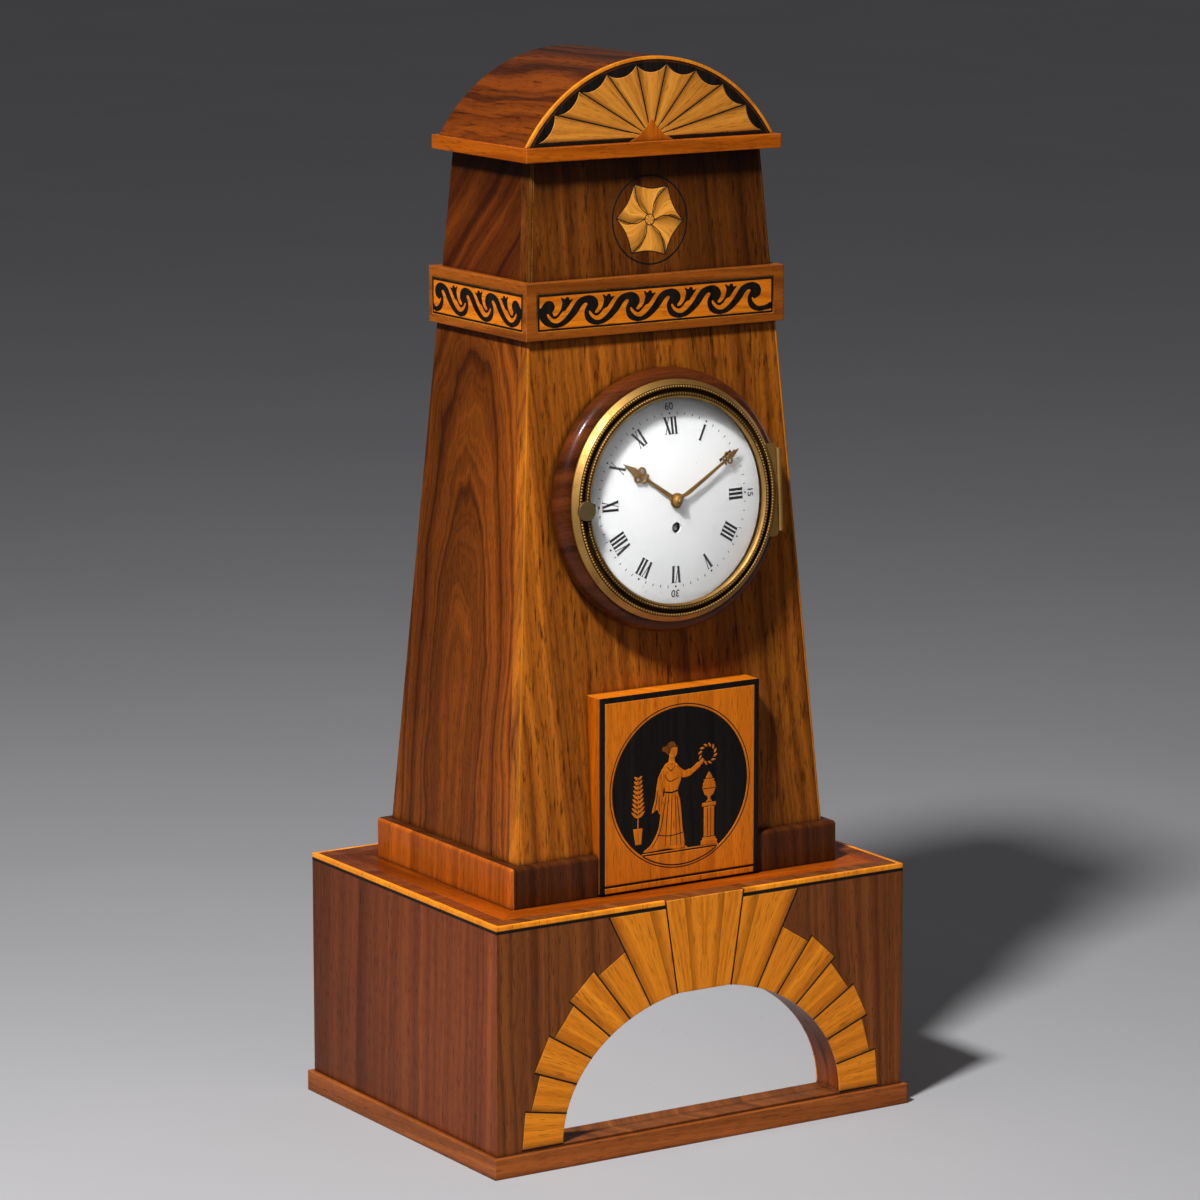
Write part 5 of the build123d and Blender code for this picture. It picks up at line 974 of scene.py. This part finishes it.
SLOPE = (
    (0.0, 0.155), (0.055, 0.159), (0.11, 0.186), (0.177, 0.245), (0.243, 0.326), (0.309, 0.423),
    (0.365, 0.52), (0.42, 0.632), (0.47, 0.73), (0.519, 0.813), (0.586, 0.876), (0.652, 0.913),
)
HEAD_TOP = (
    (0.729, 0.937), (0.807, 0.946), (0.884, 0.926), (0.95, 0.879), (1.0, 0.809), (1.028, 0.717),
    (1.031, 0.628), (1.014, 0.556), (0.983, 0.496),
)
STEM = (
    (0.95, 0.434), (0.958, 0.389), (1.0, 0.384), (1.044, 0.416), (1.088, 0.477), (1.122, 0.548),
    (1.144, 0.619), (1.16, 0.706), (1.168, 0.779), (1.152, 0.855), (1.133, 0.929), (1.171, 0.924),
    (1.21, 0.886), (1.238, 0.893), (1.254, 0.932), (1.293, 0.943), (1.326, 0.921), (1.337, 0.856),
    (1.376, 0.856), (1.425, 0.856), (1.365, 0.754), (1.32, 0.67), (1.276, 0.589), (1.243, 0.537),
    (1.199, 0.517), (1.16, 0.487), (1.122, 0.429), (1.077, 0.36), (1.033, 0.313), (0.989, 0.296),
    (0.945, 0.313), (0.901, 0.358),
)
HOLLOW = (
    (0.862, 0.418), (0.832, 0.466), (0.807, 0.466), (0.803, 0.414), (0.825, 0.348), (0.862, 0.279),
    (0.912, 0.216), (0.956, 0.179), (1.0, 0.155),
)
FIRST_UNDERSIDE = ((0.63, 0.36), (0.667, 0.25), (0.75, 0.13), (0.875, 0.05), (1.0, 0.02))
FIRST_HEAD = (
    (0.63, 0.64), (0.66, 0.66), (0.70, 0.75), (0.77, 0.845), (0.854, 0.87), (0.94, 0.82), (0.985, 0.705),
    (0.975, 0.6), (0.93, 0.50),
)


def frame_line(mesh, place, half, inset, width):
    """Four strips round a panel, this far inside its edge."""
    gap = inset + width / 2
    x, low, high = half - gap, PANEL_LOW.z + gap, PANEL_HIGH.z - gap
    for z in (low, high):
        add_strip(mesh, [(-x - width / 2, z), (x + width / 2, z)], width, place)
    for side in (-x, x):
        add_strip(mesh, [(side, low + width / 2), (side, high - width / 2)], width, place)


def frieze_panel(name, place, half, waves, mirrored):
    """The frame lines and the running wave of one panel."""
    yellow, black = bmesh.new(), bmesh.new()
    frame_line(yellow, place, half, 0.0, FRAME_YELLOW)
    frame_line(black, place, half, FRAME_YELLOW, FRAME_BLACK)
    inset = FRAME_YELLOW + FRAME_BLACK
    low, tall = PANEL_LOW.z + inset, PANEL_HIGH.z - PANEL_LOW.z - 2 * inset
    flip = -1 if mirrored else 1
    rest = 2 * (half - inset) - WAVE_START - waves * WAVE_PITCH
    end = rest / WAVE_PITCH
    last = ((0.0, 0.02), (end / 2, 0.035), (end, 0.08), (end, 0.27), (end / 2, 0.19), (0.0, 0.155))
    pieces = [(-1, (*FIRST_UNDERSIDE, *reversed((*FIRST_HEAD, *STEM, *HOLLOW))))]
    for order in range(waves):
        bud = STEM if order + 1 < waves else ()
        pieces.append((order, (*UNDERSIDE, *reversed((*SLOPE, *HEAD_TOP, *bud, *HOLLOW)))))
    pieces.append((waves, last))
    for order, outline in pieces:
        spots = [
            (flip * (inset - half + WAVE_START + (order + across) * WAVE_PITCH), low + up * tall)
            for across, up in outline
        ]
        add_plate(black, smooth(spots, True, 4), place)
    new_piece(name + "_yellow_frame", yellow, boxwood)
    new_piece(name + "_scroll", black, ebony)


frieze_panel("frieze_front", upright(BAND_LOW.y), PANEL_FRONT_HALF, 5, False)
frieze_panel("frieze_left", left_face(BAND_LOW.x), PANEL_SIDE_HALF, 3, True)
frieze_panel("frieze_right", right_face(BAND_HIGH.x), PANEL_SIDE_HALF, 3, False)
print("frieze: 3 panels")

# %% [markdown]
# ## Patera and fan
#
# Petals and leaves are small shaded pieces of veneer with black lines between them. The petals' lines
# curve inside a thin ring, and the leaves' lines run straight to the roof's arc. The fan has an orange
# foot, and a fine black line follows the front edge of the roof. All could be one flat drawing, but the
# tower's front leans, so the patera's lines are set on a slanting plane and the others on upright ones.

# %% Patera lines
TOWER_LOW = span("tower_front")[0]


def leaning(height):
    """Places x and y on the tower's front, round a point at this height."""
    face = TOWER_LOW.y + BATTER * (height - TOWER_LOW.z)

    def place(x, y, out):
        back = face + y * math.sin(LEAN) - out * math.cos(LEAN)
        return x * MM, back * MM, (height + y * math.cos(LEAN) + out * math.sin(LEAN)) * MM

    return place


def polar(radius, angle):
    return radius * math.cos(math.radians(angle)), radius * math.sin(math.radians(angle))


PATERA_LINE = 0.5
PATERA_RING_LINE = 1.0
PATERA_RING = 25.2
PATERA_WAIST = 17.8
PETAL_ANGLE = 360 / PETALS
on_patera = leaning(PATERA_RISE)
mesh = bmesh.new()
for order in range(PETALS):
    angle = PATERA_TURN + order * PETAL_ANGLE
    tip, next_tip = polar(PATERA_RADIUS, angle), polar(PATERA_RADIUS, angle + PETAL_ANGLE)
    swirl = [polar(PATERA_EYE + PATERA_LINE, angle), polar(PATERA_RADIUS / 2, angle + PATERA_SWIRL), tip]
    rim = [tip, polar(PATERA_WAIST, angle + PETAL_ANGLE / 2), next_tip]
    for path in (swirl, rim):
        add_strip(mesh, smooth(path, steps=8), PATERA_LINE, on_patera)
add_strip(mesh, circle(PATERA_EYE + PATERA_LINE / 2, 24), PATERA_LINE, on_patera, True)
add_strip(mesh, circle(PATERA_RING, 72), PATERA_RING_LINE, on_patera, True)
new_piece("patera_lines", mesh, ebony)
print("patera lines")

# %% Fan and roof lines
FAN_FOOT = ((-15.0, 0.0), (15.0, 0.0), (8.6, 3.4), (4.2, 7.4), (0.0, 12.6), (-4.2, 7.4), (-8.6, 3.4))
lunette_low = span("roof_front_lunette")[0]
mesh = bmesh.new()
add_plate(mesh, [(x, lunette_low.z + z) for x, z in FAN_FOOT], upright(lunette_low.y))
foot_look = look((0.260, 0.056, 0.002), (0.440, 0.108, 0.004), ON_FRONT, stripe=0.010)
fan_foot = wood("orange_foot", foot_look)
new_piece("fan_foot", mesh, fan_foot)

ROOF_LINE_INSET = 2.1
ROOF_LINE = 0.6
roof_centre = (0.0, ROOF_HIGH.z - ROOF_ARC)
line_radius = ROOF_ARC - ROOF_LINE_INSET
line_end = math.degrees(math.asin((ROOF_LOW.z - roof_centre[1]) / line_radius))
mesh = bmesh.new()
roof_edge = arc(line_radius, line_end, 180 - line_end, 60, roof_centre)
add_strip(mesh, roof_edge, ROOF_LINE, upright(ROOF_LOW.y))
new_piece("roof_black_line", mesh, ebony)

FAN_LINE = 0.7
FAN_LINE_START = 0.22
fan_half = math.degrees(math.acos(FAN_DROP / FAN_RIM))
fan_front = span("fan_leaves")[0].y
focus = Vector((0.0, FAN_FOCUS))
mesh = bmesh.new()
for order in range(1, FAN_LEAVES):
    x, z = polar(FAN_RIM, 90 - fan_half + 2 * fan_half * order / FAN_LEAVES)
    tip = Vector((x, roof_centre[1] + z))
    root = focus.lerp(tip, FAN_LINE_START)
    add_strip(mesh, [tuple(root), tuple(tip)], FAN_LINE, upright(fan_front))
new_piece("fan_lines", mesh, ebony)
print("fan foot, fan lines and roof line")

# %% [markdown]
# ## Beading on the bezel
#
# Two rows of small gilt beads stand on the darkened band of the bezel. They could be a bump in the
# material, but a bump has no outline of its own, so each bead is a small ball. All are one mesh,
# because hundreds of objects would only slow the scene down, and they ride on the bezel when it opens.

# %% Beading
on_dial = leaning(DIAL_HEIGHT)
BEADS = ((65.4, 19.1), (61.3, 19.7))
BEAD_RADIUS = 0.95
BEAD_PITCH = 1.75

mesh = bmesh.new()
for radius, out in BEADS:
    count = round(math.tau * radius / BEAD_PITCH)
    for order in range(count):
        x, y = polar(radius, 360 * order / count)
        ball = bmesh.ops.create_icosphere(mesh, subdivisions=1, radius=BEAD_RADIUS * MM)
        bmesh.ops.translate(mesh, verts=ball["verts"], vec=on_dial(x, y, out))
for face in mesh.faces:
    face.smooth = True
new_piece("bezel_beads", mesh, gilt, "bezel")
print("beads on the bezel")

# %% [markdown]
# ## Dial markings
#
# The numerals are Roman, tops outwards, with thick and hair strokes. Short strokes mark the minutes, dots
# every fifth one, and four small numbers the quarters. On the real dial all this is fired into the enamel.
# A flat picture would sink into the dome, so the strokes are thin strips that follow it, split into steps.

# %% Dial numerals
DIAL_CROWN = 16.5
DOME_RADIUS = 341.0
NUMERAL_RADIUS = 42.6
NUMERAL_TALL = 9.6
THICK, THIN, SERIF = 1.45, 0.4, 0.35
SERIF_REACH = 0.3
MINUTE_RADIUS = 49.6
MINUTE_HALF, MINUTE_LINE = 0.7, 0.4
FIVE_MINUTE_DOT = 0.6
INK_BLACK, INK_WORN = (0.006, 0.006, 0.007, 1), (0.10, 0.10, 0.10, 1)
PAINT = 0.10
STROKE_STEPS = 4
GLYPH_WIDTH = {"I": 2.4, "V": 4.0, "X": 4.2}
NUMERALS = ("XII", "I", "II", "III", "IIII", "V", "VI", "VII", "VIII", "IX", "X", "XI")


def on_enamel(x, y, out):
    dome = DOME_RADIUS - math.sqrt(DOME_RADIUS**2 - x * x - y * y)
    return on_dial(x, y, DIAL_CROWN - dome + out)


def turned(angle, radius):
    """Places a flat drawing at a clock angle with its top outwards."""
    side, up = math.sin(math.radians(angle)), math.cos(math.radians(angle))

    def place(x, y, out):
        return on_enamel(side * (radius + y) + up * x, up * (radius + y) - side * x, out)

    return place


def glyph(mesh, letter, middle, place):
    """One Roman letter: its thick stroke, its hair stroke and its serifs."""
    top, reach = NUMERAL_TALL / 2, (GLYPH_WIDTH[letter] - THICK) / 2
    strokes = {
        "I": [((0, -top), (0, top), THICK)],
        "V": [((-reach, top), (0, -top), THICK), ((reach, top), (0, -top), THIN)],
        "X": [((-reach, top), (reach, -top), THICK), ((reach, top), (-reach, -top), THIN)],
    }[letter]
    for start, end, width in strokes:
        for tip in (start, end):
            if letter != "V" or tip[1] > 0:
                x, y = middle + tip[0], tip[1]
                half = width / 2 + SERIF_REACH
                add_strip(mesh, [(x - half, y), (x + half, y)], SERIF, place, proud=PAINT)
        first, last = Vector((middle + start[0], start[1])), Vector((middle + end[0], end[1]))
        path = [tuple(first.lerp(last, step / STROKE_STEPS)) for step in range(STROKE_STEPS + 1)]
        add_strip(mesh, path, width, place, proud=PAINT)


ink, tree, shader, coordinates = new_material("dial_ink")
worn = noise(tree, coordinates, 500.0, 3.0, 0.7)
ink_colour = tinted(tree, stretched(tree, worn, 0.5, 0.85), INK_BLACK, INK_WORN)
tree.links.new(ink_colour, shader.inputs["Base Color"])
tree.links.new(stretched(tree, worn, 0.3, 0.7, 0.25, 0.45), shader.inputs["Roughness"])

mesh = bmesh.new()
for hour, letters in enumerate(NUMERALS):
    place = turned(30 * hour, NUMERAL_RADIUS)
    edge = -sum(GLYPH_WIDTH[letter] for letter in letters) / 2
    for letter in letters:
        glyph(mesh, letter, edge + GLYPH_WIDTH[letter] / 2, place)
        edge += GLYPH_WIDTH[letter]
for minute in range(60):
    place = turned(6 * minute, MINUTE_RADIUS)
    if minute % 5 == 0:
        add_plate(mesh, circle(FIVE_MINUTE_DOT, 10), place, proud=PAINT)
    else:
        add_strip(mesh, [(0, -MINUTE_HALF), (0, MINUTE_HALF)], MINUTE_LINE, place, proud=PAINT)
new_piece("dial_numerals", mesh, ink)
print("dial: 12 numerals, 60 minutes")

# %% Quarter numbers
QUARTER_RADIUS = 53.4
QUARTER_SIZE = 5.8
LETTER_SWELL = 0.05


def quarter_number(mesh, text, angle):
    """A small number drawn with Blender's own letters and laid on the dome."""
    letters = bpy.data.curves.new("quarter_" + text, "FONT")
    letters.body = text
    letters.size = QUARTER_SIZE
    letters.align_x = "CENTER"
    letters.align_y = "CENTER"
    letters.offset = LETTER_SWELL
    holder = bpy.data.objects.new(letters.name, letters)
    drawn = bpy.data.meshes.new_from_object(holder)
    place = turned(angle, QUARTER_RADIUS)
    spots = [mesh.verts.new(place(*vertex.co.xy, PAINT)) for vertex in drawn.vertices]
    for face in drawn.polygons:
        mesh.faces.new([spots[index] for index in face.vertices])
    bpy.data.objects.remove(holder)
    bpy.data.curves.remove(letters)
    bpy.data.meshes.remove(drawn)


mesh = bmesh.new()
for text, angle in (("60", 0), ("15", 90), ("30", 180), ("45", 270)):
    quarter_number(mesh, text, angle)
new_piece("dial_quarters", mesh, ink)
print("dial: 4 quarters")

# %% [markdown]
# ## Plaque
#
# The plaque is a black roundel with a figure let into it in honey wood. It could be sculpted as a relief,
# but inlay is flat, so outlines are enough: each becomes a thin plate, and a plate that lies over another
# stands out a little more, so that the two never flicker. The figure was drawn for this model. It holds
# out a wreath towards an urn on a short column, with a young laurel in a pot behind it.

# %% Plaque outlines
PLAQUE_FRONT = span("plaque_block")[0].y
ROUNDEL_HEIGHT = 205.25
ROUNDEL_RADIUS = 46.5
GROUND = -37.6
LAYER = 0.01
ROBE = (
    (-9.6, 14.2), (-12.2, 10.0), (-11.6, 3.0), (-10.6, -2.5), (-13.0, -12.0), (-15.0, -24.0), (-20.0, -32.5),
    (-25.0, -36.6), (-10.0, -36.2), (2.6, -36.6), (1.6, -24.0), (0.2, -10.0), (-1.6, -2.5), (0.6, 4.5),
    (-0.6, 10.5), (-3.4, 14.0),
)
MANTLE = (
    (-12.2, 11.0), (-15.6, 4.0), (-17.2, -6.0), (-19.4, -14.0), (-16.0, -12.4), (-13.6, -15.5), (-12.4, -6.0),
    (-11.0, 2.0),
)
HEAD = (
    (-8.4, 21.0), (-7.4, 24.6), (-4.6, 25.6), (-2.4, 23.8), (-2.0, 21.0), (-2.6, 18.4), (-4.6, 16.9),
    (-7.2, 18.0),
)
HAIR = (
    (-2.6, 23.4), (-4.4, 26.4), (-7.6, 26.4), (-9.6, 24.4), (-12.0, 24.0), (-12.6, 21.8), (-10.4, 20.6),
    (-8.6, 19.2), (-7.2, 20.6), (-6.4, 22.8), (-4.4, 23.4),
)
NECK = ((-7.4, 18.4), (-4.0, 17.6), (-3.6, 13.6), (-8.4, 13.6))
ARM = ((-4.2, 11.2), (1.8, 6.8), (7.6, 7.6), (13.6, 11.6), (16.2, 13.6))
ARM_WIDTHS = (4.6, 4.2, 3.2, 2.3, 1.6)
BACK_ARM = ((-10.6, 10.6), (-14.0, 3.0), (-13.0, -5.0), (-9.6, -9.4))
BACK_ARM_WIDTHS = (4.0, 3.4, 2.6, 1.8)
TOES = (-3.0, 2.2)
TOE = ((-1.6, 0.4), (3.0, 0.3), (1.4, 1.6), (-1.2, 2.0))


def on_roundel(x, y, out):
    return x * MM, (PLAQUE_FRONT - out) * MM, (ROUNDEL_HEIGHT + y) * MM


def layer(order):
    """How far a plate stands out that lies over others."""
    return PROUD + LAYER * order


def widened(widths, steps=6):
    """A width for each point of a smooth path, from the widths at the points it was drawn through."""
    return [width for width in widths[:-1] for _ in range(steps)] + [widths[-1]]


def moved(outline, x, y=0.0):
    return [(x + across, y + up) for across, up in outline]


def leaf(at, angle, length, width):
    """A pointed leaf from a point, at an angle."""
    along = Vector(polar(1.0, angle))
    beside = Vector((-along.y, along.x))
    start = Vector(at)
    shares = ((0.0, 0.0), (0.35, 0.5), (0.7, 0.36), (1.0, 0.0), (0.7, -0.36), (0.35, -0.5))
    return [tuple(start + along * length * far + beside * width * wide) for far, wide in shares]


print("plaque outlines ready")

# %% Plaque figure
WREATH = (19.0, 16.4)
WREATH_RADIUS, WREATH_LEAVES, WREATH_SLANT = 4.4, 12, 62
COLUMN = 20.0
COLUMN_BLOCKS = (
    (5.6, GROUND, GROUND + 3.0), (4.6, GROUND + 3.0, GROUND + 4.6), (3.6, GROUND + 5.0, -15.0),
    (4.8, -14.6, -12.4),
)
URN = (
    (-2.4, -12.0), (-0.9, -10.6), (-1.0, -9.0), (-3.2, -7.4), (-4.6, -3.8), (-4.2, -0.6), (-3.0, 0.4),
    (-3.9, 1.4), (3.9, 1.4), (3.0, 0.4), (4.2, -0.6), (4.6, -3.8), (3.2, -7.4), (1.0, -9.0), (0.9, -10.6),
    (2.4, -12.0),
)
URN_LID = ((-2.6, 1.8), (-1.4, 4.0), (0, 5.8), (1.4, 4.0), (2.6, 1.8))
LAUREL = -29.0
TRUNK, TRUNK_WIDTH = ((0.0, -22.0), (0.4, -8.0), (0.0, 8.0)), 0.8
LAUREL_ROWS, LAUREL_FIRST, LAUREL_STEP, LAUREL_SLANT = 9, -16.0, 2.8, 48
LAUREL_LEAF, LAUREL_SHRINK = 6.4, 0.35
POT = ((-3.2, -22.0), (3.2, -22.0), (2.4, -31.5), (-1.6, -31.5))

mesh = bmesh.new()
add_plate(mesh, smooth(MANTLE, True), on_roundel)
add_plate(mesh, smooth(ROBE, True), on_roundel, layer(2))
add_plate(mesh, NECK, on_roundel, layer(3))
add_plate(mesh, smooth(HEAD, True), on_roundel, layer(4))
for path, widths in ((ARM, ARM_WIDTHS), (BACK_ARM, BACK_ARM_WIDTHS)):
    add_strip(mesh, smooth(path), widened(widths), on_roundel, proud=layer(5))
for toe in TOES:
    add_plate(mesh, smooth(moved(TOE, toe, GROUND), True), on_roundel)
for order in range(WREATH_LEAVES):
    angle = 360 * order / WREATH_LEAVES
    wreath_leaf = leaf(polar(WREATH_RADIUS, angle), angle + WREATH_SLANT, 3.4, 1.5)
    add_plate(mesh, moved(wreath_leaf, *WREATH), on_roundel)
for half, low, high in COLUMN_BLOCKS:
    block = [(-half, low), (half, low), (half, high), (-half, high)]
    add_plate(mesh, moved(block, COLUMN), on_roundel)
for outline in (URN, smooth(URN_LID)):
    add_plate(mesh, moved(outline, COLUMN), on_roundel)
add_strip(mesh, moved(TRUNK, LAUREL), TRUNK_WIDTH, on_roundel)
for order in range(LAUREL_ROWS):
    root = (LAUREL + 0.2, LAUREL_FIRST + LAUREL_STEP * order)
    for side in (-1, 1):
        laurel_leaf = leaf(root, 90 - side * LAUREL_SLANT, LAUREL_LEAF - LAUREL_SHRINK * order, 1.9)
        add_plate(mesh, laurel_leaf, on_roundel)
add_plate(mesh, moved(POT, LAUREL), on_roundel)
new_piece("plaque_figure", mesh, honey_plaque)
print("plaque figure, urn and laurel")

# %% [markdown]
# ## Folds, hair and rings of the plaque
#
# A maker cuts the folds into the wood with a graver and fills them with black. Cutting the plate would need
# many faces, so each fold is a black strip laid on it, widest in the middle as a graver's stroke is. The
# hair is a darker piece with a thin outline, and rings close the roundel.

# %% Folds, hair and rings
FOLD, FOLD_END = 0.5, 0.45
FOLDS = (
    ((-9.6, -3.6), (-11.4, -14.0), (-14.0, -26.0), (-19.5, -34.6)),
    ((-7.8, -3.4), (-9.0, -16.0), (-10.4, -34.8)),
    ((-5.6, -3.4), (-6.0, -16.0), (-6.6, -34.8)),
    ((-3.6, -3.6), (-3.0, -16.0), (-2.6, -35.2)),
    ((-2.2, -6.0), (-0.8, -18.0), (0.6, -35.2)),
    ((-10.8, 7.6), (-7.4, 3.4), (-1.2, 5.0)),
    ((-9.0, 12.0), (-6.2, 9.4), (-3.2, 12.6)),
    ((-15.4, -1.0), (-16.4, -8.0), (-17.6, -12.6)),
    ((-14.4, -4.0), (-14.6, -10.0), (-14.2, -13.6)),
)
BELT, BELT_WIDTH = ((-10.6, -2.6), (-6.0, -3.4), (-1.8, -2.6)), 0.9
HEM, HEM_WIDTH = ((-15.6, -27.4), (-7.0, -28.8), (1.9, -27.8)), 0.5
HAIRLINE = 0.35
FLUTE = 1.17
URN_BAND_HALF, URN_BAND_HEIGHT, URN_BAND_WIDTH = 4.2, -4.0, 0.4

mesh = bmesh.new()
for fold in FOLDS:
    path = smooth(fold)
    swell = [math.sin(math.pi * (index + 1) / (len(path) + 1)) for index in range(len(path))]
    widths = [FOLD * (FOLD_END + (1 - FOLD_END) * share) for share in swell]
    add_strip(mesh, path, widths, on_roundel, proud=layer(6))
add_strip(mesh, BELT, BELT_WIDTH, on_roundel, proud=layer(6))
add_strip(mesh, smooth(HEM), HEM_WIDTH, on_roundel, proud=layer(6))
add_strip(mesh, smooth(HAIR, True), HAIRLINE, on_roundel, True, layer(6))
for x in (COLUMN - FLUTE, COLUMN + FLUTE):
    add_strip(mesh, [(x, GROUND + 5.4), (x, -15.4)], HAIRLINE, on_roundel, proud=layer(3))
urn_band = [(COLUMN - URN_BAND_HALF, URN_BAND_HEIGHT), (COLUMN + URN_BAND_HALF, URN_BAND_HEIGHT)]
add_strip(mesh, urn_band, URN_BAND_WIDTH, on_roundel, proud=layer(3))
new_piece("plaque_folds", mesh, ebony)

hair_look = look((0.12, 0.028, 0.002), (0.30, 0.078, 0.005), ON_FRONT, stripe=0.002)
hair_wood = wood("dark_honey", hair_look)
mesh = bmesh.new()
add_plate(mesh, smooth(HAIR, True), on_roundel, layer(5))
new_piece("plaque_hair", mesh, hair_wood)

RING_GAP, RING_WIDTH = 1.5, 0.55
GROUND_DEPTH = 39.0
RIM_WIDTH, GROUND_WIDTH = 0.7, 0.8
chord = math.sqrt(ROUNDEL_RADIUS**2 - GROUND_DEPTH**2)
start = math.degrees(math.atan2(-GROUND_DEPTH, -chord)) % 360
end = math.degrees(math.atan2(-GROUND_DEPTH, chord)) % 360
mesh = bmesh.new()
add_strip(mesh, circle(ROUNDEL_RADIUS + RING_GAP, 120), RING_WIDTH, on_roundel, True)
add_strip(mesh, arc(ROUNDEL_RADIUS, start, end, 24), RIM_WIDTH, on_roundel)
new_piece("plaque_rings", mesh, ebony)
mesh = bmesh.new()
ground_line = [(-chord - 1.0, GROUND - 0.2), (chord + 1.0, GROUND - 0.2)]
add_strip(mesh, ground_line, GROUND_WIDTH, on_roundel)
new_piece("plaque_ground", mesh, honey_plaque)
print("plaque folds, hair and rings")
